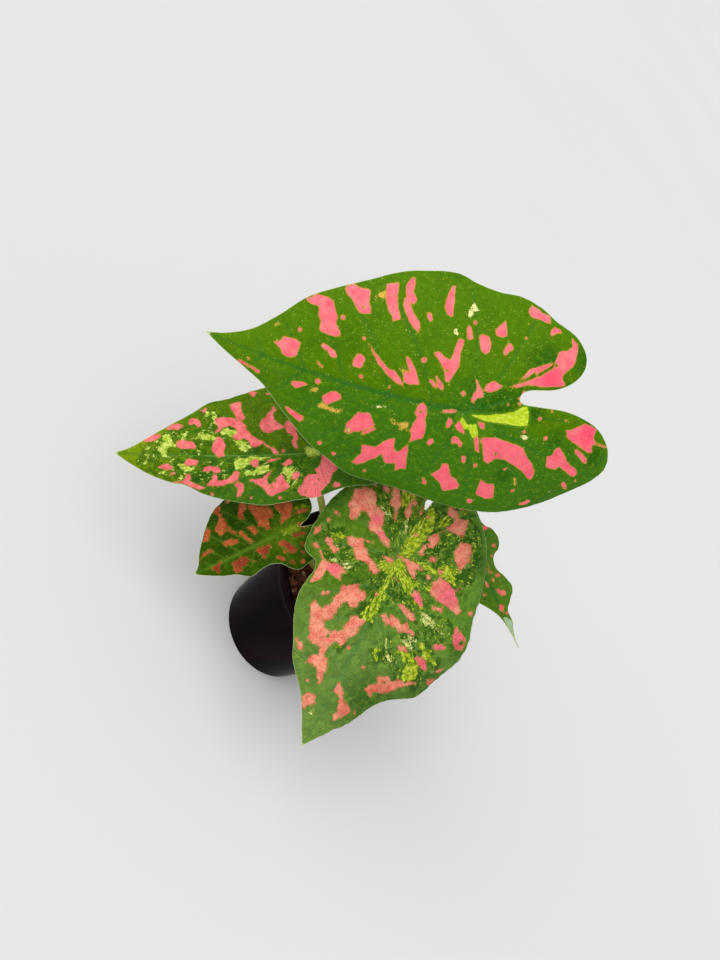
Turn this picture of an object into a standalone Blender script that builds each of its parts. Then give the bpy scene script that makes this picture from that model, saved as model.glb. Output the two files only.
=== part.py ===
"""A caladium in its nursery pot: five heart-shaped leaves on arching stalks, grown from one tuber.

Lengths are in millimetres until a mesh is made, where they become metres. +Z is up, and the
origin is the middle of the pot's flat underside.
"""

import math

import bpy
import numpy as np
from mathutils import Vector
from mathutils.geometry import delaunay_2d_cdt

MILLIMETRE = 0.001
GAP = 0.3

# Pot
POT_HEIGHT = 90.0
POT_BASE_RADIUS = 37.0
POT_TOP_RADIUS = 50.0
POT_WALL = 1.2
POT_FLOOR = 3.0
RIM_HEIGHT = 7.0
RIM_STANDOUT = 2.5
FOOT_RING = 4.0
CENTRE_PAD_RADIUS = 12.0
GROOVE_DEPTH = 1.2
DRAIN_HOLES = 6
DRAIN_RADIUS = 4.5
DRAIN_CIRCLE = 22.5
SECTORS = 48

# Soil and tuber
SOIL_TOP = 80.0
SOIL_RINGS = 12
CROWN_HEIGHT = 68.0
TUBER_SIDES = 24
TUBER_PROFILE = [(10.5, 0), (14.5, -3), (17, -8), (17.5, -13), (15.5, -19), (10, -24), (4, -26)]

# Blades
BLADE_THICKNESS = 0.8
RIB_HEIGHT = 0.7
RIB_GROOVE = 0.25
RIB_WIDTH = 2.4
BOSS_HEIGHT = 1.0
BOSS_RADIUS = 4.6
OUTLINE_STEP = 6.5
MESH_STEP = 9.5
CLOSEST_POINTS = 2.0

# Ribs: where they leave the midrib as a share of its length, and the headings in degrees of those
# that spread from the stalk, each with its turn in radians per millimetre
RIB_ROOTS = (0.14, 0.3, 0.46, 0.62, 0.78)
RIB_HEADING = 62
RIB_HEADING_FALL = 14
RIB_TURN = -0.0056
BASAL_RIBS = ((80, -0.0044), (112, -0.0017), (142, 0.0021), (166, 0.0017))
MIDRIB_SHARE = 0.97
RIB_MARGIN = 5.0

# Stalks
STALK_SIDES = 12
STALK_RINGS = 22
FOOT_CIRCLE = 6.6
HOLE_DEPTH = 0.8

LEAVES = {
    "leaf_1": {
        "junction": (-49, -16, 239), "azimuth": -147, "drop": 23, "turn": -58,
        "bend": (900, 200, 115), "wave": (1.3, 7, 0.4), "reach": (20, 112, 60), "bow": 3.5,
        "outline": [
            (133, 4), (123, 9), (112, 14), (100, 20), (90, 28), (80, 36), (70, 43), (60, 48), (50, 53),
            (42, 55), (30, 54.5), (14, 54), (-2, 55), (-18, 54), (-32, 52), (-43, 49), (-54, 43),
            (-64, 36), (-74, 25), (-83, 16), (-87, 8), (-84, -1), (-74, -9), (-62, -13), (-48, -14.5),
            (-34, -13), (-24, -12), (-21.5, -15), (-25, -19), (-38, -23), (-47, -29), (-52, -37),
            (-51, -45), (-43, -52), (-30, -56), (-20, -60), (-8, -62), (4, -60.5), (16, -61),
            (27, -62.5), (40, -59), (54, -53), (66, -45), (80, -36), (92, -27), (102, -15), (112, -5),
            (123, 1),
        ],
    },
    "leaf_2": {
        "junction": (-78, -28, 151), "azimuth": -134, "drop": 36, "turn": -29,
        "bend": (900, 200, 75), "wave": (1.2, 6, 2.0), "reach": (28, 84, 38), "bow": 1.8,
        "outline": [
            (111, 0), (102, 6), (92, 12), (80, 16.5), (72, 18), (62, 23), (50, 26.5), (38, 28.5),
            (28, 29.5), (18, 28), (8, 26), (-2, 24.5), (-12, 20.5), (-22, 18), (-34, 17), (-44, 13),
            (-48, 7), (-43, 2), (-30, 0.5), (-19, -1), (-30, -3), (-45, -6), (-53, -14), (-53, -25),
            (-46, -35), (-34, -41), (-18, -45), (0, -46), (16, -44), (30, -40), (40, -36), (49, -32),
            (60, -29), (70, -22), (82, -15), (94, -7.5), (103, -2.5),
        ],
    },
    "leaf_3": {
        "junction": (-5, -23, 153), "azimuth": -55, "drop": 33, "turn": 22,
        "bend": (600, 200, 140), "wave": (1.6, 8, 1.1), "reach": (30, 86, 56), "bow": 2.0,
        "outline": [
            (114, 0.5), (108, 5), (101, 11), (95, 17), (87, 22), (79, 26), (73, 32), (69, 40), (66, 47),
            (60, 52), (51, 56), (42, 61), (32, 64.5), (22, 64), (12, 61), (-2, 60), (-16, 57),
            (-28, 51), (-38, 43), (-46, 33), (-52, 22), (-50, 12), (-41, 7), (-32, 4), (-40, 0.5),
            (-49, -5), (-54, -15), (-52, -26), (-44, -34), (-32, -39), (-24, -43), (-14, -47),
            (-2, -49), (10, -49.5), (18, -48), (20.5, -43.5), (22, -39), (27, -37.5), (35, -39),
            (44, -39), (54, -36), (66, -30), (76, -25), (88, -14.5), (98, -8), (106, -4),
        ],
    },
    "leaf_4": {
        "junction": (-52, -43, 109), "azimuth": -103, "drop": 49, "turn": -2,
        "bend": (400, 200, 60), "wave": (1.0, 6, 0.2), "reach": (16, 42, 30), "bow": 0.5,
        "outline": [
            (57, 0), (50, 4), (42, 8), (34, 11), (27, 15.5), (21, 14.5), (14, 14), (8, 16.5), (4.5, 21),
            (0, 24), (-6, 23), (-13, 21), (-20, 16.5), (-22, 10), (-18, 4), (-11, 1.5), (-17, -1),
            (-21.5, -5), (-22.5, -12), (-19, -21), (-12, -29), (-3, -35), (8, -39), (18, -40),
            (27, -36), (35, -31), (40, -24), (45, -17), (50, -10), (53, -4),
        ],
    },
    "leaf_5": {
        "junction": (13, 36, 156), "azimuth": -1, "drop": 9, "turn": 25,
        "bend": (400, 200, 200), "wave": (1.6, 7, 0.9), "reach": (20, 62, 27), "bow": 0.5,
        "outline": [
            (84, 6), (74, 7), (66, 10), (58, 9.5), (52, 14), (46, 18.5), (38, 17), (30, 13.5),
            (25, 13.5), (21, 16), (19, 22), (13, 24.5), (6, 22.5), (0, 18), (-8, 18.5), (-15, 20),
            (-21, 18), (-24, 11), (-20, 5), (-9, 1), (-19, -4), (-24, -12), (-22, -20), (-15, -26),
            (-5, -29), (7, -29), (18, -25), (30, -18), (40, -10), (48, -4), (57, 1), (68, 4), (76, 5.5),
        ],
    },
}

# Each stalk: the angle of its foot on the crown, two pulls that shape its arch, and its radii
STALKS = {
    "stem_1": {"leaf": "leaf_1", "foot": 117, "rise": (-5, 18, 52), "fall": (21, 50, -49), "radii": (2.9, 2.0)},
    "stem_2": {"leaf": "leaf_2", "foot": 189, "rise": (-14, -4, 32), "fall": (24, 9, -30), "radii": (2.7, 1.9)},
    "stem_3": {"leaf": "leaf_3", "foot": 333, "rise": (1, -1, 30), "fall": (4, 6, -28), "radii": (2.7, 1.9)},
    "stem_4": {"leaf": "leaf_4", "foot": 261, "rise": (-6, -5, 20), "fall": (16, 12, -7), "radii": (2.4, 1.7)},
    "stem_5": {"leaf": "leaf_5", "foot": 45, "rise": (2, 4, 32), "fall": (-3, -10, -28), "radii": (2.4, 1.7)},
}


def clear_scene():
    for thing in list(bpy.data.objects):
        bpy.data.objects.remove(thing, do_unlink=True)


def material(name, colour, roughness):
    made = bpy.data.materials.new(name)
    made.use_nodes = True
    shader = made.node_tree.nodes["Principled BSDF"]
    shader.inputs["Base Color"].default_value = (*colour, 1)
    shader.inputs["Roughness"].default_value = roughness
    shader.inputs["Metallic"].default_value = 0.0
    return made


def solid(name, points, faces, finish, sharp_angle=40):
    """Make one object from points in millimetres."""
    mesh = bpy.data.meshes.new(name)
    mesh.from_pydata([tuple(float(c) * MILLIMETRE for c in p) for p in points], [], faces)
    mesh.materials.append(finish)
    mesh.shade_smooth()
    mesh.set_sharp_from_angle(angle=math.radians(sharp_angle))
    made = bpy.data.objects.new(name, mesh)
    bpy.context.collection.objects.link(made)
    return made


def cut(target, cutter):
    """Cut one object from another, and remove the cutter."""
    step = target.modifiers.new("cut", "BOOLEAN")
    step.operation = "DIFFERENCE"
    step.solver = "EXACT"
    step.object = cutter
    bpy.context.view_layer.update()
    shape = bpy.data.meshes.new_from_object(target.evaluated_get(bpy.context.evaluated_depsgraph_get()))
    target.modifiers.clear()
    target.data = shape
    bpy.data.objects.remove(cutter, do_unlink=True)


def turned(name, profile, sides, finish, ripple=None, sharp_angle=40):
    """Turn a profile of (radius, height) round the vertical axis, closed at both ends on the axis.

    The profile runs from the axis, up the outside and back to the axis.
    """
    points = [(0, 0, profile[0][1])]
    for radius, height in profile[1:-1]:
        for k in range(sides):
            angle = 2 * math.pi * k / sides
            r = radius + (ripple(angle, height) if ripple else 0)
            points.append((r * math.cos(angle), r * math.sin(angle), height))
    points.append((0, 0, profile[-1][1]))
    last = len(points) - 1
    faces = []
    for k in range(sides):
        j = (k + 1) % sides
        faces.append((0, 1 + j, 1 + k))
        for ring in range(len(profile) - 3):
            a = 1 + ring * sides
            b = a + sides
            faces.append((a + k, a + j, b + j))
            faces.append((a + k, b + j, b + k))
        a = last - sides
        faces.append((a + k, a + j, last))
    return solid(name, points, faces, finish, sharp_angle)


def pot_radius(height):
    """Outer radius of the pot's wall at a height."""
    return POT_BASE_RADIUS + (POT_TOP_RADIUS - POT_BASE_RADIUS) * height / POT_HEIGHT


def make_pot():
    """A thin moulded pot: flat foot ring and centre pad, tapered wall, rolled rim, drain holes."""
    rim_low = POT_HEIGHT - RIM_HEIGHT
    rim_out = pot_radius(rim_low) + RIM_STANDOUT
    inner_floor = pot_radius(POT_FLOOR) - POT_WALL
    inner_top = pot_radius(POT_HEIGHT) - POT_WALL
    profile = [
        (0, 0),
        (CENTRE_PAD_RADIUS, 0),
        (CENTRE_PAD_RADIUS + 1, GROOVE_DEPTH),
        (POT_BASE_RADIUS - FOOT_RING - 1, GROOVE_DEPTH),
        (POT_BASE_RADIUS - FOOT_RING, 0),
        (POT_BASE_RADIUS - 1, 0),
        (pot_radius(1), 1),
        (pot_radius(rim_low * 0.5), rim_low * 0.5),
        (pot_radius(rim_low), rim_low),
        (rim_out - 0.6, rim_low + 0.2),
        (rim_out, rim_low + 1),
        (rim_out + 0.4, POT_HEIGHT - 1.5),
        (rim_out, POT_HEIGHT - 0.5),
        (rim_out - 0.9, POT_HEIGHT),
        (inner_top + 0.7, POT_HEIGHT),
        (inner_top, POT_HEIGHT - 0.8),
        (pot_radius(POT_HEIGHT * 0.5) - POT_WALL, POT_HEIGHT * 0.5),
        (inner_floor, POT_FLOOR),
        (0, POT_FLOOR),
    ]
    pot = turned("pot", profile, SECTORS, material("glossy black plastic", (0.012, 0.010, 0.012), 0.16))
    for k in range(DRAIN_HOLES):
        angle = 2 * math.pi * (k + 0.5) / DRAIN_HOLES
        centre = np.array([DRAIN_CIRCLE * math.cos(angle), DRAIN_CIRCLE * math.sin(angle)])
        cut(pot, drain_cutter(centre))
    return pot


def drain_cutter(centre):
    path = [np.array([*centre, -2.0]), np.array([*centre, POT_FLOOR + 2])]
    points, faces = tube(path, [DRAIN_RADIUS, DRAIN_RADIUS], 16)
    return solid("drain", points, faces, bpy.data.materials["glossy black plastic"])


def tuber_ripple(angle, height):
    """The corm's uneven sides."""
    return 0.5 * math.sin(3 * angle + 0.25 * height) + 0.35 * math.cos(5 * angle - 0.4 * height)


def make_tuber(name="tuber", grow=0.0):
    """The corm below the soil, with a flat crown that the stalks stand on."""
    profile = [(r + grow, CROWN_HEIGHT + h + (grow if h == 0 else 0)) for r, h in TUBER_PROFILE]
    low = profile[-1][1] - 0.6 - grow
    profile = [(0, profile[0][1])] + profile + [(0, low)]
    finish = material("tuber skin", (0.16, 0.08, 0.04), 0.85)
    return turned(name, profile[::-1], TUBER_SIDES, finish, tuber_ripple)


def soil_height(x, y, radius):
    """The lumpy top of the soil, flat beside the pot's wall."""
    lumps = 1.2 * math.sin(0.31 * x + 0.7) * math.cos(0.27 * y - 0.4)
    lumps += 0.8 * math.sin(0.55 * x - 0.43 * y + 1.9) + 0.5 * math.cos(0.8 * y + 0.35 * x)
    edge = pot_radius(SOIL_TOP)
    return SOIL_TOP + lumps * min(1.0, 1.6 * (1 - (radius / edge) ** 4))


def make_soil():
    """The potting mix, which fills the pot to a finger's width below its rim."""
    low = POT_FLOOR + GAP
    wall = POT_WALL + GAP
    points = [(0, 0, low)]
    rings = [(pot_radius(low) - wall, low), (pot_radius(SOIL_TOP * 0.5) - wall, SOIL_TOP * 0.5)]
    top_radius = pot_radius(SOIL_TOP) - wall
    steps = [top_radius * (1 - k / SOIL_RINGS) for k in range(SOIL_RINGS)]
    for radius, height in rings + [(r, None) for r in steps]:
        for k in range(SECTORS):
            angle = 2 * math.pi * k / SECTORS
            x, y = radius * math.cos(angle), radius * math.sin(angle)
            points.append((x, y, soil_height(x, y, radius) if height is None else height))
    points.append((0, 0, soil_height(0, 0, 0)))
    last = len(points) - 1
    faces = []
    for k in range(SECTORS):
        j = (k + 1) % SECTORS
        faces.append((0, 1 + j, 1 + k))
        for ring in range(SOIL_RINGS + 1):
            a = 1 + ring * SECTORS
            b = a + SECTORS
            faces.append((a + k, a + j, b + j))
            faces.append((a + k, b + j, b + k))
        a = last - SECTORS
        faces.append((a + k, a + j, last))
    return solid("soil", points, faces, material("bark and peat", (0.045, 0.022, 0.012), 0.95))


def blade_axes(leaf):
    """Directions of the midrib, the blade's left side and its upper face."""
    azimuth, drop, turn = (math.radians(leaf[k]) for k in ("azimuth", "drop", "turn"))
    along = np.array([math.cos(azimuth) * math.cos(drop), math.sin(azimuth) * math.cos(drop), -math.sin(drop)])
    level = np.array([-math.sin(azimuth), math.cos(azimuth), 0.0])
    side = math.cos(turn) * level + math.sin(turn) * np.cross(along, level)
    return along, side, np.cross(along, side)


def blade_surface(leaf, u, v):
    """Place flat blade coordinates on the bent and waved blade. u runs to the tip, v to the left."""
    tip_bend, lobe_bend, cross_bend = leaf["bend"]
    height, count, phase = leaf["wave"]
    middle, half_length, half_width = leaf["reach"]
    radius = np.where(u > 0, tip_bend, lobe_bend)
    ring = np.hypot((u - middle) / half_length, v / half_width)
    angle = np.arctan2(v / half_width, (u - middle) / half_length)
    wave = height * np.minimum(ring, 1.2) ** 3 * np.sin(count * angle + phase)
    rise = -cross_bend * (1 - np.cos(v / cross_bend)) + wave
    bent_along = radius * np.sin(u / radius) + np.sin(u / radius) * rise
    bent_down = -radius * (1 - np.cos(u / radius)) + np.cos(u / radius) * rise
    across = cross_bend * np.sin(v / cross_bend)
    along_axis, side_axis, up_axis = blade_axes(leaf)
    return (
        np.array(leaf["junction"], float)
        + bent_along[:, None] * along_axis
        + across[:, None] * side_axis
        + bent_down[:, None] * up_axis
    )


def blade_normals(leaf, u, v):
    step = 0.2
    du = blade_surface(leaf, u + step, v) - blade_surface(leaf, u - step, v)
    dv = blade_surface(leaf, u, v + step) - blade_surface(leaf, u, v - step)
    normal = np.cross(du, dv)
    return normal / np.linalg.norm(normal, axis=1)[:, None]


def smooth_outline(knots, step):
    """A smooth closed line through the knots, with a sharp corner at the first, the tip."""
    line = [np.array(k, float) for k in knots] + [np.array(knots[0], float)]
    padded = [2 * line[0] - line[1]] + line + [2 * line[-1] - line[-2]]
    made = []
    for a, b, c, d in zip(padded, padded[1:], padded[2:], padded[3:]):
        pieces = max(1, round(np.linalg.norm(c - b) / step))
        for k in range(pieces):
            t = k / pieces
            made.append(
                0.5 * (2 * b + (c - a) * t + (2 * a - 5 * b + 4 * c - d) * t**2 + (3 * b - a - 3 * c + d) * t**3)
            )
    return np.array(made)


def segment_distance(points, starts, ends):
    """Distance from each point to the nearest of a set of segments."""
    best = np.full(len(points), np.inf)
    for a, b in zip(starts, ends):
        run = b - a
        t = np.clip((points - a) @ run / max(run @ run, 1e-12), 0, 1)
        best = np.minimum(best, np.linalg.norm(points - a - t[:, None] * run, axis=1))
    return best


def inside(points, loop):
    """Which points lie inside a closed line."""
    held = np.zeros(len(points), bool)
    for a, b in zip(loop, np.roll(loop, -1, axis=0)):
        spans = (a[1] > points[:, 1]) != (b[1] > points[:, 1])
        rise = b[1] - a[1] if b[1] != a[1] else 1e-12
        crossing = a[0] + (points[:, 1] - a[1]) * (b[0] - a[0]) / rise
        held ^= spans & (points[:, 0] < crossing)
    return held


def grow_rib(start, heading, turn, loop, step):
    """A rib that sets off at a heading, turns evenly, and stops short of the margin."""
    line = [np.array(start, float)]
    direction = math.radians(heading)
    while True:
        ahead = line[-1] + step * np.array([math.cos(direction), math.sin(direction)])
        near = segment_distance(ahead[None], loop, np.roll(loop, -1, axis=0))[0]
        if near < RIB_MARGIN or not inside(ahead[None], loop)[0]:
            return line
        line.append(ahead)
        direction += turn * step


def blade_ribs(leaf, loop, step):
    """The midrib, the ribs that leave it, and the ribs that spread from the stalk into the lobes."""
    tip = np.array(leaf["outline"][0], float)
    count = max(6, round(np.linalg.norm(tip) / step))
    share = np.linspace(0, MIDRIB_SHARE, count + 1)
    midrib = [np.array([tip[0] * t, tip[1] * t + 4 * leaf["bow"] * t * (1 - t)]) for t in share]
    ribs = [midrib]
    for side in (1, -1):
        for t in RIB_ROOTS:
            root = midrib[round(t / MIDRIB_SHARE * count)]
            heading = RIB_HEADING - RIB_HEADING_FALL * t
            ribs.append(grow_rib(root, side * heading, side * RIB_TURN, loop, step))
        for heading, turn in BASAL_RIBS:
            ribs.append(grow_rib((0, 0), side * heading, side * turn, loop, step))
    return [rib for rib in ribs if len(rib) > 1]


def relief(points, ribs):
    """How far each point is on a rib, from 0 to 1, and on the boss where the stalk joins."""
    starts = [a for rib in ribs for a in rib[:-1]]
    ends = [b for rib in ribs for b in rib[1:]]
    away = segment_distance(points, starts, ends)
    on_rib = np.clip(1 - away / RIB_WIDTH, 0, 1)
    on_boss = (np.hypot(points[:, 0], points[:, 1]) < BOSS_RADIUS + 0.1).astype(float)
    return on_rib, on_boss


def blade_points(leaf, loop, ribs):
    """Points for the blade's triangles: its margin, its ribs, the boss, and an even fill between."""
    on_ribs = []
    for rib in ribs:
        for p in rib:
            if all(np.linalg.norm(p - q) > CLOSEST_POINTS for q in on_ribs):
                on_ribs.append(p)
    boss = [BOSS_RADIUS * np.array([math.cos(a), math.sin(a)]) for a in np.linspace(0, 2 * math.pi, 9)[:-1]]
    on_ribs += [p for p in boss if all(np.linalg.norm(p - q) > CLOSEST_POINTS for q in on_ribs)]
    low, high = loop.min(axis=0), loop.max(axis=0)
    rows = []
    for row, y in enumerate(np.arange(low[1], high[1], MESH_STEP * math.sqrt(0.75))):
        shift = MESH_STEP / 2 * (row % 2)
        rows += [(x, y) for x in np.arange(low[0] + shift, high[0], MESH_STEP)]
    fill = np.array(rows)
    fill = fill[inside(fill, loop)]
    fill = fill[segment_distance(fill, loop, np.roll(loop, -1, axis=0)) > MESH_STEP * 0.5]
    held = np.array(on_ribs)
    fill = np.array([p for p in fill if np.linalg.norm(held - p, axis=1).min() > MESH_STEP * 0.6])
    return np.vstack([loop, held, fill])


def make_blade(name):
    """One leaf blade: the same triangles above and below, ribs standing out below, joined at the margin."""
    leaf = LEAVES[name]
    loop = smooth_outline(leaf["outline"], OUTLINE_STEP)
    ribs = blade_ribs(leaf, loop, MESH_STEP * 0.85)
    flat = blade_points(leaf, loop, ribs)
    rim = len(loop)
    edges = [(k, (k + 1) % rim) for k in range(rim)]
    found = delaunay_2d_cdt([Vector(p) for p in flat], edges, [], 1, 1e-5)
    flat = np.array([tuple(p) for p in found[0]])
    origins = found[3]
    triangles = [tuple(f) for f in found[2]]
    on_rib, on_boss = relief(flat, ribs)
    centre = blade_surface(leaf, flat[:, 0], flat[:, 1])
    normal = blade_normals(leaf, flat[:, 0], flat[:, 1])
    half = BLADE_THICKNESS / 2
    above = centre + normal * (half - RIB_GROOVE * on_rib)[:, None]
    thicker = np.maximum(RIB_HEIGHT * on_rib, BOSS_HEIGHT * on_boss)
    below = centre - normal * (half + thicker)[:, None]
    total = len(flat)
    faces = []
    for a, b, c in triangles:
        turn = np.cross(flat[b] - flat[a], flat[c] - flat[a])
        if turn < 0:
            b, c = c, b
        faces.append((a, b, c))
        faces.append((total + a, total + c, total + b))
    place = {old: new for new, olds in enumerate(origins) for old in olds}
    ring = [place[k] for k in range(rim)]
    for a, b in zip(ring, ring[1:] + ring[:1]):
        faces.append((a, total + a, total + b))
        faces.append((a, total + b, b))
    finish = material(name + " green", (0.06, 0.22, 0.03), 0.42)
    return solid(name, np.vstack([above, below]), faces, finish, 180)


def tube(path, radii, sides, end_plane=None):
    """A round tube along a path, closed at both ends. end_plane (point, normal) trims its last ring."""
    path = [np.array(p, float) for p in path]
    tangents = [path[min(k + 1, len(path) - 1)] - path[max(k - 1, 0)] for k in range(len(path))]
    tangents = [t / np.linalg.norm(t) for t in tangents]
    first = np.cross(tangents[0], (0.3, 0.9, 0.1))
    first /= np.linalg.norm(first)
    points = []
    for place, tangent, radius in zip(path, tangents, radii):
        first = first - tangent * (first @ tangent)
        first /= np.linalg.norm(first)
        second = np.cross(tangent, first)
        for k in range(sides):
            angle = 2 * math.pi * k / sides
            points.append(place + radius * (math.cos(angle) * first + math.sin(angle) * second))
    if end_plane is not None:
        on_plane, normal = end_plane
        tangent = tangents[-1]
        for k in range(len(points) - sides, len(points)):
            points[k] = points[k] + tangent * ((on_plane - points[k]) @ normal) / (tangent @ normal)
    bottom, top = len(points), len(points) + 1
    points += [np.mean(points[:sides], axis=0), np.mean(points[-sides:], axis=0)]
    faces = []
    for k in range(sides):
        j = (k + 1) % sides
        faces.append((bottom, j, k))
        for ring in range(len(path) - 1):
            a = ring * sides
            faces.append((a + k, a + j, a + sides + j))
            faces.append((a + k, a + sides + j, a + sides + k))
        a = (len(path) - 1) * sides
        faces.append((top, a + k, a + j))
    return points, faces


def stalk_path(stalk):
    """The arch of a stalk, from its foot on the crown to the underside of its blade."""
    leaf = LEAVES[stalk["leaf"]]
    up = blade_axes(leaf)[2]
    angle = math.radians(stalk["foot"])
    foot = np.array([FOOT_CIRCLE * math.cos(angle), FOOT_CIRCLE * math.sin(angle), CROWN_HEIGHT + GAP])
    head = np.array(leaf["junction"], float) - up * (BLADE_THICKNESS / 2 + BOSS_HEIGHT + GAP)
    pull_up = foot + np.array(stalk["rise"], float)
    pull_down = head + np.array(stalk["fall"], float)
    path = []
    for t in np.linspace(0, 1, STALK_RINGS):
        s = 1 - t
        path.append(s**3 * foot + 3 * s * s * t * pull_up + 3 * s * t * t * pull_down + t**3 * head)
    return path, (head, up)


def make_stalk(name, label=None, grow=0.0):
    """One leaf stalk. With grow it is the cutter for its hole in the soil."""
    stalk = STALKS[name]
    foot_height = CROWN_HEIGHT + GAP - (HOLE_DEPTH if grow else 0)
    path, end_plane = stalk_path(stalk)
    wide, slim = stalk["radii"]
    radii = [wide + (slim - wide) * k / (STALK_RINGS - 1) + grow for k in range(STALK_RINGS)]
    points, faces = tube(path, radii, STALK_SIDES, end_plane)
    for k in range(STALK_SIDES):
        points[k] = np.array([points[k][0], points[k][1], foot_height])
    points[-2] = np.mean(points[:STALK_SIDES], axis=0)
    finish = material(name + " green", (0.16, 0.20, 0.05), 0.45)
    return solid(label or name, points, faces, finish)


clear_scene()
make_pot()
soil = make_soil()
make_tuber()
cut(soil, make_tuber("tuber space", GAP))
for stalk_name in STALKS:
    make_stalk(stalk_name)
    cut(soil, make_stalk(stalk_name, "stalk hole", GAP))
for leaf_name in LEAVES:
    make_blade(leaf_name)
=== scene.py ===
"""The looks of a caladium in its nursery pot: its finishes, its fine leaf blades and stalks, its bark.

Lengths are in millimetres until a mesh is made, where they become metres. +Z is up, and the
origin is the middle of the pot's flat underside.
"""

import math

import bpy
import numpy as np
from mathutils import Matrix, Vector
from mathutils.geometry import delaunay_2d_cdt
from mathutils.kdtree import KDTree


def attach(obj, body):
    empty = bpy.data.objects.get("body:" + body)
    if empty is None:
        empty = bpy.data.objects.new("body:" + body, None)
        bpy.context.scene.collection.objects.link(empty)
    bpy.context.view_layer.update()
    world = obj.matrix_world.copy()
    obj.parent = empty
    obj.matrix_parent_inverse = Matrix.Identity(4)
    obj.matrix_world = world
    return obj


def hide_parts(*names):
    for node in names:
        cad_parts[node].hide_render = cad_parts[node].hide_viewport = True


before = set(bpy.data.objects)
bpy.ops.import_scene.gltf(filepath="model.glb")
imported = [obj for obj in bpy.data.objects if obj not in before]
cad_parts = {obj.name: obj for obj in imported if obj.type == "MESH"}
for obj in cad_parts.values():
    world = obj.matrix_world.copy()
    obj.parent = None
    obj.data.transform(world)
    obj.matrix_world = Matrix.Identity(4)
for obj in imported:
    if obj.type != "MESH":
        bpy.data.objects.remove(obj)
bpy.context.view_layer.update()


# The pot is a thin tapered nursery pot, moulded in one shot of black plastic with a plum cast.
# A polished mould leaves it glossy. Its rim is rolled outwards, and six holes drain its floor.

MILLIMETRE = 0.001
POT_HEIGHT = 90.0
POT_BASE_RADIUS = 37.0
POT_TOP_RADIUS = 50.0
POT_WALL = 1.2
POT_FLOOR = 3.0
POT_SHARP_ANGLE = 35
RIM_HEIGHT = 7.0
RIM_STANDOUT = 2.5
RIM_FLARE = 0.4
RIM_FILLET = 0.6
RIM_LOW_EDGE = 0.8
RIM_TOP_EDGE = 1.3
RIM_INNER_EDGE = 0.6
FOOT_RING = 4.0
FOOT_EDGE = 1.0
FLOOR_CORNER = 1.5
CENTRE_PAD_RADIUS = 12.0
GROOVE_DEPTH = 1.2
GROOVE_SLOPE = 1.0
DRAIN_HOLES = 6
DRAIN_RADIUS = 4.5
DRAIN_CIRCLE = 22.5
DRAIN_SIDES = 48
PUNCH_OVERRUN = 2.0
POT_SECTORS = 192
LIP_STEPS = 8
OUTER_STEPS = 12
INNER_STEPS = 10
INNER_TOP_GAP = 3.0
INNER_LOW_GAP = 2.0


class Reading:
    """A value that a material's nodes give. A sum on it adds the Math node that works it out."""

    def __init__(self, finish, socket):
        self.finish = finish
        self.socket = socket

    def sum(self, operation, first, second):
        return self.finish.node("ShaderNodeMath", {"operation": operation}, {0: first, 1: second})

    def __add__(self, other):
        return self.sum("ADD", self, other)

    def __radd__(self, other):
        return self.sum("ADD", other, self)

    def __sub__(self, other):
        return self.sum("SUBTRACT", self, other)

    def __rsub__(self, other):
        return self.sum("SUBTRACT", other, self)

    def __mul__(self, other):
        return self.sum("MULTIPLY", self, other)

    def __rmul__(self, other):
        return self.sum("MULTIPLY", other, self)

    def above(self, level):
        return self.sum("GREATER_THAN", self, level)

    def greater(self, other):
        return self.sum("MAXIMUM", self, other)


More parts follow.
